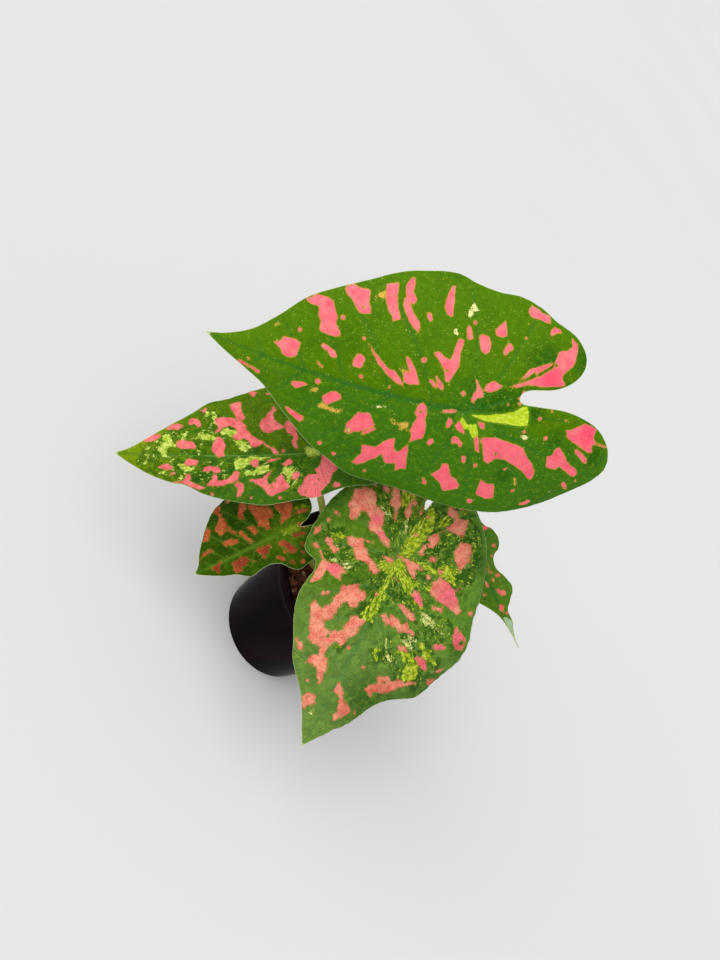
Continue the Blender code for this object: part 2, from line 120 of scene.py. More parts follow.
class Finish:
    """A material, or the world. Its node method adds any node; the others name the few that many share."""

    def __init__(self, name, world=False, **constants):
        self.made = (bpy.data.worlds if world else bpy.data.materials).new(name)
        self.made.use_nodes = True
        self.tree = self.made.node_tree
        self.shader = self.tree.nodes["Background" if world else "Principled BSDF"]
        for word, value in constants.items():
            self.wear(word.replace("_", " "), value)

    def wear(self, socket, value):
        """Give the surface one of the shader's own values."""
        self.put(self.shader.inputs[socket], value)

    def put(self, socket, value):
        if isinstance(value, Reading):
            self.tree.links.new(value.socket, socket)
        else:
            socket.default_value = value

    def node(self, kind, settings, sockets, output=0):
        """Add a node: first its settings, then the values or readings of its sockets."""
        made = self.tree.nodes.new(kind)
        for word, value in settings.items():
            if word == "stops":
                while len(made.color_ramp.elements) < len(value):
                    made.color_ramp.elements.new(1.0)
                for stop, (place, colour) in zip(made.color_ramp.elements, value):
                    stop.position = place
                    stop.color = colour
            else:
                setattr(made, word, value)
        for socket, value in sockets.items():
            self.put(made.inputs[socket], value)
        return Reading(self, made.outputs[output])

    def mark(self, name, output="Fac"):
        """A mark that the piece carries at its points."""
        return self.node("ShaderNodeAttribute", {"attribute_name": name}, {}, output)

    def place(self):
        """Places on the piece, in millimetres."""
        where = self.node("ShaderNodeTexCoord", {}, {}, "Object")
        return self.stretched(where, (1 / MILLIMETRE,) * 3)

    def stretched(self, where, times):
        return self.node("ShaderNodeVectorMath", {"operation": "MULTIPLY"}, {0: where, 1: times})

    def mix(self, first, second, share):
        return self.node("ShaderNodeMix", {"data_type": "RGBA"}, {0: share, 6: first, 7: second}, 2)

    def layered(self, colour, look, *layers):
        """Lay tones over a colour, each by its share. A tone is a word of the look or a reading."""
        for tone, share in layers:
            colour = self.mix(colour, look[tone] if isinstance(tone, str) else tone, share)
        return colour

    def rise(self, value, low, high):
        """0 below low, 1 above high, and a smooth rise between."""
        limits = {"Value": value, "From Min": low, "From Max": high}
        return self.node("ShaderNodeMapRange", {"interpolation_type": "SMOOTHSTEP"}, limits)

    def fall(self, value, low, high):
        return 1 - self.rise(value, low, high)

    def noise(self, where, size, detail=2.0, roughness=0.5, output=0):
        """Cloudy noise from 0 to 1, with clouds about size millimetres across."""
        kinds = {"Vector": where, "Scale": 1 / size, "Detail": detail, "Roughness": roughness}
        return self.node("ShaderNodeTexNoise", {}, kinds, output)

    def cells(self, where, scale, output="Distance", feature="F1"):
        """Irregular cells: how far a place is from a cell's middle or edge, or the cell's own colour."""
        sockets = {"Vector": where, "Scale": scale}
        return self.node("ShaderNodeTexVoronoi", {"feature": feature}, sockets, output)

    def channel(self, colour, name):
        return self.node("ShaderNodeSeparateColor", {}, {"Color": colour}, name)

    def bump(self, height, strength, relief):
        sockets = {"Strength": strength, "Distance": relief * MILLIMETRE, "Height": height}
        self.wear("Normal", self.node("ShaderNodeBump", {}, sockets))


def paint(red, green, blue):
    """A colour given from 0 to 255, as the linear values that a shader takes."""
    linear = [c / 3295 if c < 11 else ((c / 255 + 0.055) / 1.055) ** 2.4 for c in (red, green, blue)]
    return (*linear, 1.0)


def piece(name, points, faces, material, sharp_angle=40, **marks):
    """Make one piece from points in millimetres. Each mark is a value or a place at every point."""
    mesh = bpy.data.meshes.new(name)
    mesh.from_pydata(np.asarray(points, float) * MILLIMETRE, [], faces)
    for mark, values in marks.items():
        values = np.asarray(values, np.float32)
        if values.ndim == 1:
            mesh.attributes.new(mark, "FLOAT", "POINT").data.foreach_set("value", values)
        else:
            mesh.attributes.new(mark, "FLOAT_VECTOR", "POINT").data.foreach_set("vector", values.ravel())
    mesh.materials.append(material)
    mesh.shade_smooth()
    mesh.set_sharp_from_angle(angle=math.radians(sharp_angle))
    made = bpy.data.objects.new(name, mesh)
    bpy.context.scene.collection.objects.link(made)
    return made


def stand_in(made, node):
    """Let a piece ride with the plant and stand for the solid of that name."""
    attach(made, "root")
    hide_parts(node)


def turned(profile, sides):
    """Points and faces of a profile of (radius, height), turned round the vertical axis and closed on it."""
    points = [(0, 0, profile[0][1])]
    for radius, height in profile[1:-1]:
        for k in range(sides):
            angle = 2 * math.pi * k / sides
            points.append((radius * math.cos(angle), radius * math.sin(angle), height))
    points.append((0, 0, profile[-1][1]))
    last = len(points) - 1
    faces = []
    for k in range(sides):
        j = (k + 1) % sides
        faces.append((0, 1 + j, 1 + k))
        for ring in range(len(profile) - 3):
            a = 1 + ring * sides
            b = a + sides
            faces.append((a + k, a + j, b + j, b + k))
        a = last - sides
        faces.append((a + k, a + j, last))
    return points, faces


def pot_radius(height):
    """Outer radius of the pot's wall at a height."""
    return POT_BASE_RADIUS + (POT_TOP_RADIUS - POT_BASE_RADIUS) * height / POT_HEIGHT


def arc(centre, radius, start, end):
    """Points of (radius, height) along a quarter of a rounded corner. Angles are in degrees."""
    turns = [math.radians(start + (end - start) * k / LIP_STEPS) for k in range(LIP_STEPS + 1)]
    return [(centre[0] + radius * math.cos(a), centre[1] + radius * math.sin(a)) for a in turns]


def pot_profile():
    """Half the pot's section, from the middle of its underside up over the rim and down to its floor."""
    rim_low = POT_HEIGHT - RIM_HEIGHT
    rim_out = pot_radius(rim_low) + RIM_STANDOUT
    top_centre = (rim_out + RIM_FLARE - RIM_TOP_EDGE, POT_HEIGHT - RIM_TOP_EDGE)
    inner_centre = (pot_radius(POT_HEIGHT) - POT_WALL + RIM_INNER_EDGE, POT_HEIGHT - RIM_INNER_EDGE)
    floor_centre = (pot_radius(POT_FLOOR) - POT_WALL - FLOOR_CORNER, POT_FLOOR + FLOOR_CORNER)
    profile = [(0, 0), (CENTRE_PAD_RADIUS, 0), (CENTRE_PAD_RADIUS + GROOVE_SLOPE, GROOVE_DEPTH)]
    profile += [(POT_BASE_RADIUS - FOOT_RING - GROOVE_SLOPE, GROOVE_DEPTH), (POT_BASE_RADIUS - FOOT_RING, 0)]
    profile += arc((pot_radius(FOOT_EDGE) - FOOT_EDGE, FOOT_EDGE), FOOT_EDGE, -90, 0)
    profile += [(pot_radius(z), z) for z in np.linspace(0, rim_low, OUTER_STEPS + 1)[1:-1]]
    profile += [(pot_radius(rim_low - RIM_FILLET), rim_low - RIM_FILLET)]
    profile += [(pot_radius(rim_low) + RIM_FILLET / 2, rim_low - RIM_FILLET / 6)]
    profile += arc((rim_out - RIM_LOW_EDGE, rim_low + RIM_LOW_EDGE + RIM_FILLET / 6), RIM_LOW_EDGE, -90, 0)
    profile += arc(top_centre, RIM_TOP_EDGE, 0, 90)
    profile += arc(inner_centre, RIM_INNER_EDGE, 90, 180)
    inner = np.linspace(POT_HEIGHT - INNER_TOP_GAP, POT_FLOOR + INNER_LOW_GAP, INNER_STEPS + 1)
    profile += [(pot_radius(z) - POT_WALL, z) for z in inner]
    profile += arc(floor_centre, FLOOR_CORNER, 0, -90)
    return profile + [(0, POT_FLOOR)]


def drain_holes(pot):
    """Cut the ring of holes through the pot's floor."""
    low, high = -PUNCH_OVERRUN, POT_FLOOR + PUNCH_OVERRUN
    points, faces = turned([(0, low), (DRAIN_RADIUS, low), (DRAIN_RADIUS, high), (0, high)], DRAIN_SIDES)
    for k in range(DRAIN_HOLES):
        angle = 2 * math.pi * (k + 0.5) / DRAIN_HOLES
        shift = np.array([DRAIN_CIRCLE * math.cos(angle), DRAIN_CIRCLE * math.sin(angle), 0])
        punch = piece("punch", np.array(points) + shift, faces, pot.data.materials[0])
        step = pot.modifiers.new("hole", "BOOLEAN")
        step.operation = "DIFFERENCE"
        step.object = punch
        bpy.context.view_layer.update()
        shape = bpy.data.meshes.new_from_object(pot.evaluated_get(bpy.context.evaluated_depsgraph_get()))
        pot.modifiers.clear()
        pot.data = shape
        bpy.data.objects.remove(punch, do_unlink=True)


def pot_finish():
    """Polished plastic: nearly black, with a plum cast that drifts with faint moulding flow, and some dust.
    """
    tint = paint(255, 190, 216)
    finish = Finish("black plum plastic", Specular_IOR_Level=0.01, Specular_Tint=tint, Coat_Roughness=0.04)
    where = finish.place()
    flow = finish.noise(finish.stretched(where, (1, 1, 0.25)), 22, 3)
    plum = finish.mix(paint(8, 3, 6), paint(24, 8, 13), finish.rise(flow, 0.35, 0.7))
    dust = finish.rise(finish.noise(where, 1.6, 6, 0.7), 0.62, 0.82)
    finish.wear("Base Color", finish.mix(plum, paint(96, 86, 78), dust * 0.10))
    smear = finish.rise(finish.noise(where, 14, 4), 0.4, 0.75)
    finish.wear("Roughness", 0.09 + 0.08 * smear + 0.25 * dust)
    finish.wear("Coat Weight", 0.02 - 0.01 * smear)
    finish.bump(finish.noise(finish.stretched(where, (1, 1, 0.3)), 9, 2), 0.25, 0.12)
    return finish.made


pot_shell = piece("pot_shell", *turned(pot_profile(), POT_SECTORS), pot_finish())
drain_holes(pot_shell)
pot_shell.data.shade_smooth()
pot_shell.data.set_sharp_from_angle(angle=math.radians(POT_SHARP_ANGLE))
stand_in(pot_shell, "pot")


# The tuber is the plant's brown corm. It sits below the mix, out of sight, and the stalks grow
# from its crown. It keeps its solid, with a rough skin ringed by old leaf scars.


def tuber_finish():
    finish = Finish("tuber skin", Specular_IOR_Level=0.3)
    where = finish.place()
    rings = finish.noise(finish.stretched(where, (0.3, 0.3, 2.2)), 3, 4, 0.7)
    skin = finish.mix(paint(72, 46, 30), paint(138, 100, 66), finish.rise(rings, 0.3, 0.7))
    scars = finish.rise(finish.noise(where, 2), 0.55, 0.75)
    finish.wear("Base Color", finish.mix(skin, paint(48, 30, 22), scars))
    finish.wear("Roughness", 0.75 + 0.2 * rings)
    finish.bump(rings, 0.6, 0.8)
    return finish.made


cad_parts["tuber"].data.materials[0] = tuber_finish()


# The potting mix is peat and composted bark, filled to a finger's width below the rim. It keeps
# its solid, which shows only as dark crumb between the chips that lie on it.

SOIL_TOP = 80.0
CROWN_HEIGHT = 68.0
PEAT = paint(54, 30, 20)
WET_PEAT = paint(28, 16, 11)


def peat_finish():
    finish = Finish("peat crumb", Specular_IOR_Level=0.25)
    where = finish.place()
    crumb = finish.noise(where, 1.4, 5, 0.65)
    finish.wear("Base Color", finish.mix(WET_PEAT, PEAT, finish.rise(crumb, 0.35, 0.65)))
    finish.wear("Roughness", 0.8 + 0.18 * crumb)
    finish.bump(crumb, 0.9, 1.2)
    return finish.made


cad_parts["soil"].data.materials[0] = peat_finish()


def soil_height(x, y):
    """The lumpy top of the mix, flat beside the pot's wall."""
    lumps = 1.2 * math.sin(0.31 * x + 0.7) * math.cos(0.27 * y - 0.4)
    lumps += 0.8 * math.sin(0.55 * x - 0.43 * y + 1.9) + 0.5 * math.cos(0.8 * y + 0.35 * x)
    out = math.hypot(x, y) / pot_radius(SOIL_TOP)
    return SOIL_TOP + lumps * min(1.0, 1.6 * (1 - out**4))


# The five blades are soft heart-shaped leaves, thin at the margin and carried on sunken ribs.
# Each is green, splashed with pink, lime and cream where the plant makes no green of its own.
# A blade is drawn flat, with u along it and v to its left, and then bent to its place.

BLADE_THICKNESS = 0.8
MARGIN_THICKNESS = 0.32
MARGIN_TAPER = 3.5
RIB_HEIGHT = 0.75
RIB_WIDTH = 1.5
SIDE_RIB_SIZE = 0.7
RIB_TAPER = 0.65
GROOVE_WIDTH = 0.55
GROOVE = 0.22
VALLEY_WIDTH = 3.2
SWELL_MARGIN = 6.0
PUCKER_SHARE = 0.4
FRILL_HEIGHT = 0.2
FRILL_REACH = 5.0
BOSS_HEIGHT = 1.0
BOSS_RADIUS = 4.6
BLADE_SHARP_ANGLE = 60
EDGE_STEP = 1.1
FILL_STEP = 1.2
NEAR_RIB = 0.5 * FILL_STEP
NEAR_EDGE = 0.62 * FILL_STEP
RIB_ROOTS = (0.14, 0.3, 0.46, 0.62, 0.78)
RIB_HEADING = 62
RIB_HEADING_FALL = 14
RIB_TURN = -0.0056
BASAL_RIBS = ((80, -0.0044), (112, -0.0017), (142, 0.0021), (166, 0.0017))
MIDRIB_SHARE = 0.97
RIB_MARGIN = 4.0
FAN_SPREAD = 24.0
FAN_LENGTH = 0.22
MARK_DEPTH = 6.0
FRECKLED_DEPTH = -0.8
LIME_FAR = -5.0
STRAW_CORE = 0.7
FAR_AWAY = -9.0
SPLASH_LENGTH = (2, 8)
SPLASH_WIDTH = (1, 3)
SPLASH_GAP = 2.0
SPLASH_CORNERS = 7
MOST_TRIES = 600


def corners(words):
    """Rows of numbers: the u,v of corners, or the u,v,radius of spots."""
    return np.array([word.split(",") for word in words.split()], float)


def shapes(words):
    """Outlines drawn on a half-millimetre grid, with a semicolon between one and the next."""
    return [corners(shape) / 2 for shape in words.split(";")]


# Where each blade joins its stalk, its compass bearing, droop and turn in degrees, its bend
# radii to the tip, to the lobes and across, its waves, and its outline in millimetres
LEAVES = {
    "leaf_1": {
        "junction": (-49, -16, 239), "azimuth": -147, "drop": 23, "turn": -58,
        "bend": (900, 200, 115), "wave": (1.3, 7, 0.4), "reach": (20, 112, 60), "bow": 3.5,
        "outline": corners("""
        133,4 123,9 112,14 100,20 90,28 80,36 70,43 60,48 50,53 42,55 30,54.5 14,54 -2,55 -18,54 -32,52
        -43,49 -54,43 -64,36 -74,25 -83,16 -87,8 -84,-1 -74,-9 -62,-13 -48,-14.5 -34,-13 -24,-12 -21.5,-15
        -25,-19 -38,-23 -47,-29 -52,-37 -51,-45 -43,-52 -30,-56 -20,-60 -8,-62 4,-60.5 16,-61 27,-62.5
        40,-59 54,-53 66,-45 80,-36 92,-27 102,-15 112,-5 123,1
        """),
    },
    "leaf_2": {
        "junction": (-78, -28, 151), "azimuth": -134, "drop": 36, "turn": -29,
        "bend": (900, 200, 75), "wave": (1.2, 6, 2.0), "reach": (28, 84, 38), "bow": 1.8,
        "outline": corners("""
        111,0 102,6 92,12 80,16.5 72,18 62,23 50,26.5 38,28.5 28,29.5 18,28 8,26 -2,24.5 -12,20.5 -22,18
        -34,17 -44,13 -48,7 -43,2 -30,0.5 -19,-1 -30,-3 -45,-6 -53,-14 -53,-25 -46,-35 -34,-41 -18,-45 0,-46
        16,-44 30,-40 40,-36 49,-32 60,-29 70,-22 82,-15 94,-7.5 103,-2.5
        """),
    },
    "leaf_3": {
        "junction": (-5, -23, 153), "azimuth": -55, "drop": 33, "turn": 22,
        "bend": (600, 200, 140), "wave": (1.6, 8, 1.1), "reach": (30, 86, 56), "bow": 2.0,
        "outline": corners("""
        114,0.5 108,5 101,11 95,17 87,22 79,26 73,32 69,40 66,47 60,52 51,56 42,61 32,64.5 22,64 12,61 -2,60
        -16,57 -28,51 -38,43 -46,33 -52,22 -50,12 -41,7 -32,4 -40,0.5 -49,-5 -54,-15 -52,-26 -44,-34 -32,-39
        -24,-43 -14,-47 -2,-49 10,-49.5 18,-48 20.5,-43.5 22,-39 27,-37.5 35,-39 44,-39 54,-36 66,-30 76,-25
        88,-14.5 98,-8 106,-4
        """),
    },
    "leaf_4": {
        "junction": (-52, -43, 109), "azimuth": -103, "drop": 49, "turn": -2,
        "bend": (400, 200, 60), "wave": (1.0, 6, 0.2), "reach": (16, 42, 30), "bow": 0.5,
        "outline": corners("""
        57,0 50,4 42,8 34,11 27,15.5 21,14.5 14,14 8,16.5 4.5,21 0,24 -6,23 -13,21 -20,16.5 -22,10 -18,4
        -11,1.5 -17,-1 -21.5,-5 -22.5,-12 -19,-21 -12,-29 -3,-35 8,-39 18,-40 27,-36 35,-31 40,-24 45,-17
        50,-10 53,-4
        """),
    },
    "leaf_5": {
        "junction": (13, 36, 156), "azimuth": -1, "drop": 9, "turn": 25,
        "bend": (400, 200, 200), "wave": (1.6, 7, 0.9), "reach": (20, 62, 27), "bow": 0.5,
        "outline": corners("""
        84,6 74,7 66,10 58,9.5 52,14 46,18.5 38,17 30,13.5 25,13.5 21,16 19,22 13,24.5 6,22.5 0,18 -8,18.5
        -15,20 -21,18 -24,11 -20,5 -9,1 -19,-4 -24,-12 -22,-20 -15,-26 -5,-29 7,-29 18,-25 30,-18 40,-10
        48,-4 57,1 68,4 76,5.5
        """),
    },
}

# The pink splashes, the lime patches, the stretches that are only freckled with lime, and the cream
# and straw-yellow patches, all drawn on the flat blades
PINK = {
    "leaf_1": shapes("""
    -63,82 -55,85 -43,82 -40,64 -48,67 -55,65 -58,69; -110,75 -104,75 -97,82 -100,83 -106,80; -139,49
    -136,50 -129,45 -130,42 -135,45; -140,30 -137,34 -114,26 -111,31 -100,30 -96,20 -101,17 -100,10 -104,7
    -115,15 -120,20 -137,26; -145,16 -142,17 -123,7 -125,5 -134,8 -142,12; -146,4 -141,5 -110,-4 -104,-11
    -111,-13 -124,-23 -141,-20 -141,-11 -145,-7 -168,-4 -145,-5 -142,-2; -92,48 -89,49 -78,42 -63,37 -53,35
    -44,36 -38,44 -33,42 -25,26 -20,21 -33,16 -60,17 -67,19 -75,27 -84,32 -91,41; -21,82 -8,90 0,80 6,78
    11,75 5,66 5,59 0,58 -8,70 -15,72 -21,78; 12,90 15,89 18,82 16,82 12,87; -16,51 -13,51 -10,45 -13,43;
    -5,35 -3,35 1,32 5,35 7,30 5,27 1,28 -4,31; -3,22 5,20 9,16 7,11 2,15; 14,21 17,20 18,13 16,11 13,14;
    12,3 25,8 26,6 19,3 14,2; 26,44 29,42 27,37 25,36 23,40; 38,79 43,79 47,84 50,75 59,79 62,77 67,69 71,77
    76,80 81,87 87,92 92,91 86,77 89,67 75,65 69,56 62,49 60,50 58,59 55,63 50,60 46,50; 35,39 40,42 45,47
    46,39 49,35 47,20 51,16 50,9 47,5 43,7 39,15 40,20 37,25 35,32; 84,42 97,54 102,55 105,60 110,59 110,50
    103,35 93,32; 81,45 92,56 94,55 85,45; 124,27 135,38 140,35 141,31 137,25 130,22 125,24; -24,35 -20,34
    -14,22 -15,20 -18,22; -20,13 -15,10 -11,5 -18,6; -85,-53 -63,-46 -46,-43 -34,-37 -29,-36 -56,-54 -67,-64
    -70,-82 -79,-86 -84,-91 -82,-100 -90,-95 -91,-88 -89,-74 -79,-63 -80,-58; -67,-70 -60,-67 -43,-57
    -37,-45 -44,-51 -49,-58 -51,-55; -21,-34 -18,-30 -11,-25 -6,-25 -6,-31 -12,-36; 0,-10 3,-12 3,-18 1,-23
    7,-35 0,-27 -4,-24 -7,-19 -1,-16; -14,-62 -11,-65 -14,-74 -18,-74 -21,-70 -17,-68; -10,-81 -7,-79 -1,-78
    3,-83 -5,-94; 2,-61 6,-58 10,-60 16,-72 13,-75 7,-74 3,-68; 31,-21 34,-23 38,-31 44,-37 53,-43 49,-46
    40,-42 35,-41 35,-56 34,-63 30,-64 29,-60 29,-50 26,-39; 23,-66 26,-66 30,-75 29,-79 26,-76 22,-69;
    -54,-107 -49,-106 -40,-108 -31,-107 -26,-112 -29,-118 -37,-117 -43,-114 -52,-114; -69,-102 -64,-100
    -57,-95 -56,-99 -59,-104 -67,-104; 33,-13 36,-13 40,-17 44,-24 34,-17; 40,-13 43,-13 49,-18 47,-19
    42,-16; 57,-10 62,-10 65,-8 71,-9 74,-15 73,-19 67,-17 74,-26 77,-32 75,-32 64,-22; 71,-5 77,-5 85,-8
    99,-16 115,-31 112,-30 106,-25 90,-15 83,-15 76,-10; 115,-8 122,-7 124,-12 122,-19 118,-20 114,-17;
    140,-10 145,-9 150,-13 157,-15 157,-18 150,-17 143,-14; 143,-30 149,-28 160,-28 164,-30 164,-36 169,-43
    170,-50 179,-50 185,-52 180,-55 177,-59 167,-60 160,-58 151,-45 151,-40 146,-35; 122,-59 132,-56 142,-65
    150,-70 153,-74 147,-80 140,-78 130,-79 127,-68; 94,-63 100,-59 102,-63 107,-67 112,-75 116,-90 106,-95
    103,-80 99,-71; 73,-56 85,-64 91,-71 95,-76 96,-83 92,-82 82,-70 75,-65; 86,-80 93,-82 97,-90 98,-97
    93,-106 91,-100 90,-91 85,-85; 47,-82 52,-81 57,-89 56,-110 53,-110; 66,-70 70,-73 71,-77 68,-78 65,-73;
    177,1 181,4 189,4 194,-1 201,-4 194,-8 194,-12 181,-13 177,-11; 153,58 155,65 169,59 174,54 170,54
    161,57; 159,24 169,32 174,28 172,26 164,24; 206,29 209,30 214,27 230,25 227,23 207,27; 150,4 156,1
    156,-1 151,2
    """),
    "leaf_2": shapes("""
    -9,50 6,50 15,47 19,44 18,39 13,34 12,29 8,24 -3,23 0,18 -6,13 -8,1 -14,4 -21,11 -25,17 -19,23 -17,31
    -6,43; -29,36 -23,39 -20,36 -23,31 -27,33; 20,29 26,28 24,22 18,21 17,25; 28,37 35,42 48,48 53,45 58,38
    72,30 58,28 52,22 47,20 54,29 50,37 45,30 37,23; 82,48 87,49 85,40 89,36 87,34 78,33 79,40; 83,20 85,30
    100,36 119,37 117,32 113,30 113,25 110,24 107,27 108,31 98,30 92,26 88,21; 102,20 112,23 113,20 123,21
    122,17 117,15 107,16; 121,39 128,41 135,39 145,34 158,33 144,31 142,24 137,23 136,28 139,31; 128,9
    130,13 142,15 144,13 141,7; 157,17 163,19 173,16 169,13 162,11; 152,22 158,25 160,23 155,21; 130,-6
    133,-4 144,-4 152,-6 153,-12 147,-14 142,-12 135,-12; 100,4 107,5 113,-2 113,-8 108,-18 103,-16 99,-8;
    38,2 45,1 49,-4 58,-10 63,-7 70,-6 73,-13 78,-16 87,-14 92,-18 86,-22 88,-27 95,-30 102,-28 106,-23
    111,-22 107,-28 111,-35 111,-38 103,-40 95,-40 87,-37 78,-32 76,-25 70,-19 43,-3; 78,-39 81,-36 87,-38
    95,-52 98,-54 90,-58 84,-59 82,-45; 34,-28 48,-24 52,-21 58,-24 62,-30 60,-37 54,-41 54,-45 50,-47
    47,-54 44,-49 47,-45 46,-38; 19,-4 23,-6 26,-11 24,-17 27,-21 31,-23 34,-29 31,-37 26,-33 21,-26 19,-16
    21,-11; 24,11 33,15 36,12 28,6; 37,6 52,10 49,7 39,5; 125,-30 130,-29 135,-33 140,-31 140,-38 137,-39
    130,-37; 146,-30 152,-26 167,-26 162,-30 153,-32; 169,-18 177,-13 194,-11 180,-20 172,-20; 120,-51
    124,-46 128,-48 123,-52; 67,-73 70,-66 73,-67 77,-74 72,-75; 62,14 66,16 72,11 67,7 62,9
    """),
    "leaf_3": shapes("""
    -10,-12 -5,-11 -8,-22 -13,-26 -14,-40 -21,-44 -25,-42 -31,-54 -27,-57 -18,-58 -16,-64 -32,-74 -41,-72
    -48,-76 -57,-63 -57,-55 -51,-48 -42,-44 -39,-33 -30,-29 -22,-28; 22,-9 28,-13 26,-20 21,-25 20,-31
    23,-38 13,-46 12,-52 6,-58 2,-54 -3,-29 1,-40 6,-38 6,-32 12,-29; 36,-48 41,-42 44,-46 49,-43 51,-45
    47,-62 60,-63 68,-73 39,-72 29,-80 36,-72 39,-66 36,-55; 21,-60 27,-63 25,-69 21,-72 19,-80 15,-78
    13,-72 19,-69; 26,-83 28,-80 31,-85 29,-90 26,-88; 5,-91 12,-88 18,-92 16,-95 10,-94; -72,-29 -54,-18
    -48,-21 -36,-18 -48,-25 -50,-31 -70,-34; -69,-9 -65,-4 -59,-8 -48,-5 -45,-8 -50,-12 -67,-11; -70,-42
    -64,-37 -61,-39 -65,-45 -70,-48; 4,-1 7,-1 9,-5 6,-13 4,-9; -1,34 2,27 12,30 9,22 1,13 -2,0 -4,13 -4,28;
    22,15 25,17 22,11 20,8; 44,-25 52,-20 50,-13 55,-10 62,-14 68,-14 72,-19 68,-26 70,-30 92,-34 99,-40
    88,-48 84,-46 80,-41 68,-41 63,-38 53,-39 53,-34; 78,2 86,-1 98,-2 101,-7 108,-8 113,-11 112,-19 120,-22
    132,-23 133,-18 140,-14 150,-14 157,-12 160,-14 155,-19 146,-24 144,-33 149,-38 138,-35 132,-28 127,-30
    123,-36 125,-41 120,-47 98,-56 90,-61 83,-59 88,-44 99,-40 105,-36 105,-30 101,-20 98,-17 90,-17 86,-14
    81,-16 78,-14; 66,59 70,57 69,49 72,40 68,27 72,24 64,13 62,16 63,23 58,24 64,42 59,44 64,50; 52,52
    55,50 55,42 45,25 43,30 47,44; 20,99 25,100 25,91 22,79 22,67 18,53 12,54 6,50 2,54 -3,54 -2,67 2,78;
    -54,74 -48,79 -41,79 -37,83 -23,77 -22,74 -28,68 -28,64 -38,57 -41,61 -50,61; -78,61 -57,61 -55,50
    -56,44 -51,34 -61,43 -71,45 -72,34 -82,31 -84,35 -80,41 -81,45 -74,48; -46,34 -41,37 -32,35 -27,31
    -28,28 -20,25 -16,28 -14,24 -18,21 -25,23 -31,28 -34,27 -37,22; 46,121 52,124 59,125 61,114 55,105
    39,100 38,105 44,110 39,108; -19,44 -16,45 -14,39 -16,35 -20,39; -12,57 -9,57 -7,53 -10,51; -4,89 1,83
    0,82; 27,76 32,77 33,64 30,62; 34,52 38,51 29,34 23,34 24,41; 86,109 89,113 93,109 95,101; 102,109
    112,106 113,102 107,100; 63,100 68,100 73,89 71,84 65,88; 99,95 98,86 91,71 87,73 88,86 95,90; 85,58
    88,59 90,52 87,45 84,50; 115,86 118,87 120,80 135,61 141,52 143,46 151,44 146,40 144,34 138,36 137,41
    133,44 125,41 122,50 124,58 120,66 120,74 116,79; 149,5 153,12 167,19 168,27 172,32 190,19 184,15 177,17
    163,11 160,5; 173,-11 183,-7 187,-14 195,-14 183,-23 174,-20; 128,-56 131,-49 135,-46 138,-49 133,-56
    129,-58; 66,-48 70,-49 75,-58 71,-56; 169,34 175,40 172,34; -64,4 -59,6 -53,6 -58,2
    """),
    "leaf_4": shapes("""
    -25,-26 -23,-19 -15,-12 -3,-9 -3,-12 -8,-17 -3,-34 -21,-30; 11,-9 14,-10 17,-16 21,-18 21,-28 24,-37
    24,-44 22,-49 12,-39 2,-34 0,-28 3,-21 9,-20; 26,-11 30,-11 34,-22 28,-21 25,-17; 34,-5 39,-4 46,-21
    42,-22 37,-8; 49,-10 67,-13 69,-19 57,-19 51,-14; 34,-34 39,-36 39,-42 34,-55 30,-56 27,-48 28,-43
    34,-41; 49,-22 54,-22 57,-31 60,-34 62,-28 67,-27 71,-37 69,-42 64,-45 63,-51 69,-64 61,-68 58,-64
    61,-57 59,-48 56,-42 56,-37 53,-29; 77,-39 79,-34 85,-29 91,-31 81,-44; 82,-15 91,-15 97,-12 101,-13
    94,-18 89,-19 84,-19; -8,26 -3,28 2,25 3,18 9,12 7,8 2,9 -3,15; 1,38 4,38 7,34 3,34; 9,31 14,30 18,24
    15,23 11,26; 28,20 32,19 32,12 36,8 33,4 28,6 19,6 18,9 22,12 23,16 27,14; 40,18 48,12 50,8 55,6 67,8
    69,15 67,20 61,21 61,16 52,16 48,13; 77,2 82,4 83,9 87,11 92,3 79,0; -32,6 -26,6 -21,3 -21,-2 -29,1;
    -25,14 -8,11 -11,8 -21,9; -38,-10 -28,-10 -22,-13 -28,-15 -36,-13; -18,25 -15,25 -13,20 -18,21
    """),
    "leaf_5": shapes("""
    1,31 5,40 9,41 8,34 5,29; 28,34 31,39 34,37 32,34; 62,21 66,27 70,26 67,20; 80,14 86,19 90,25 95,24
    93,19 86,14 82,13; 65,4 70,6 74,4 70,1 66,1; 102,9 105,15 116,10 105,6; 48,17 53,14 60,17 58,12 52,12;
    73,-6 80,-4 78,-8
    """),
}
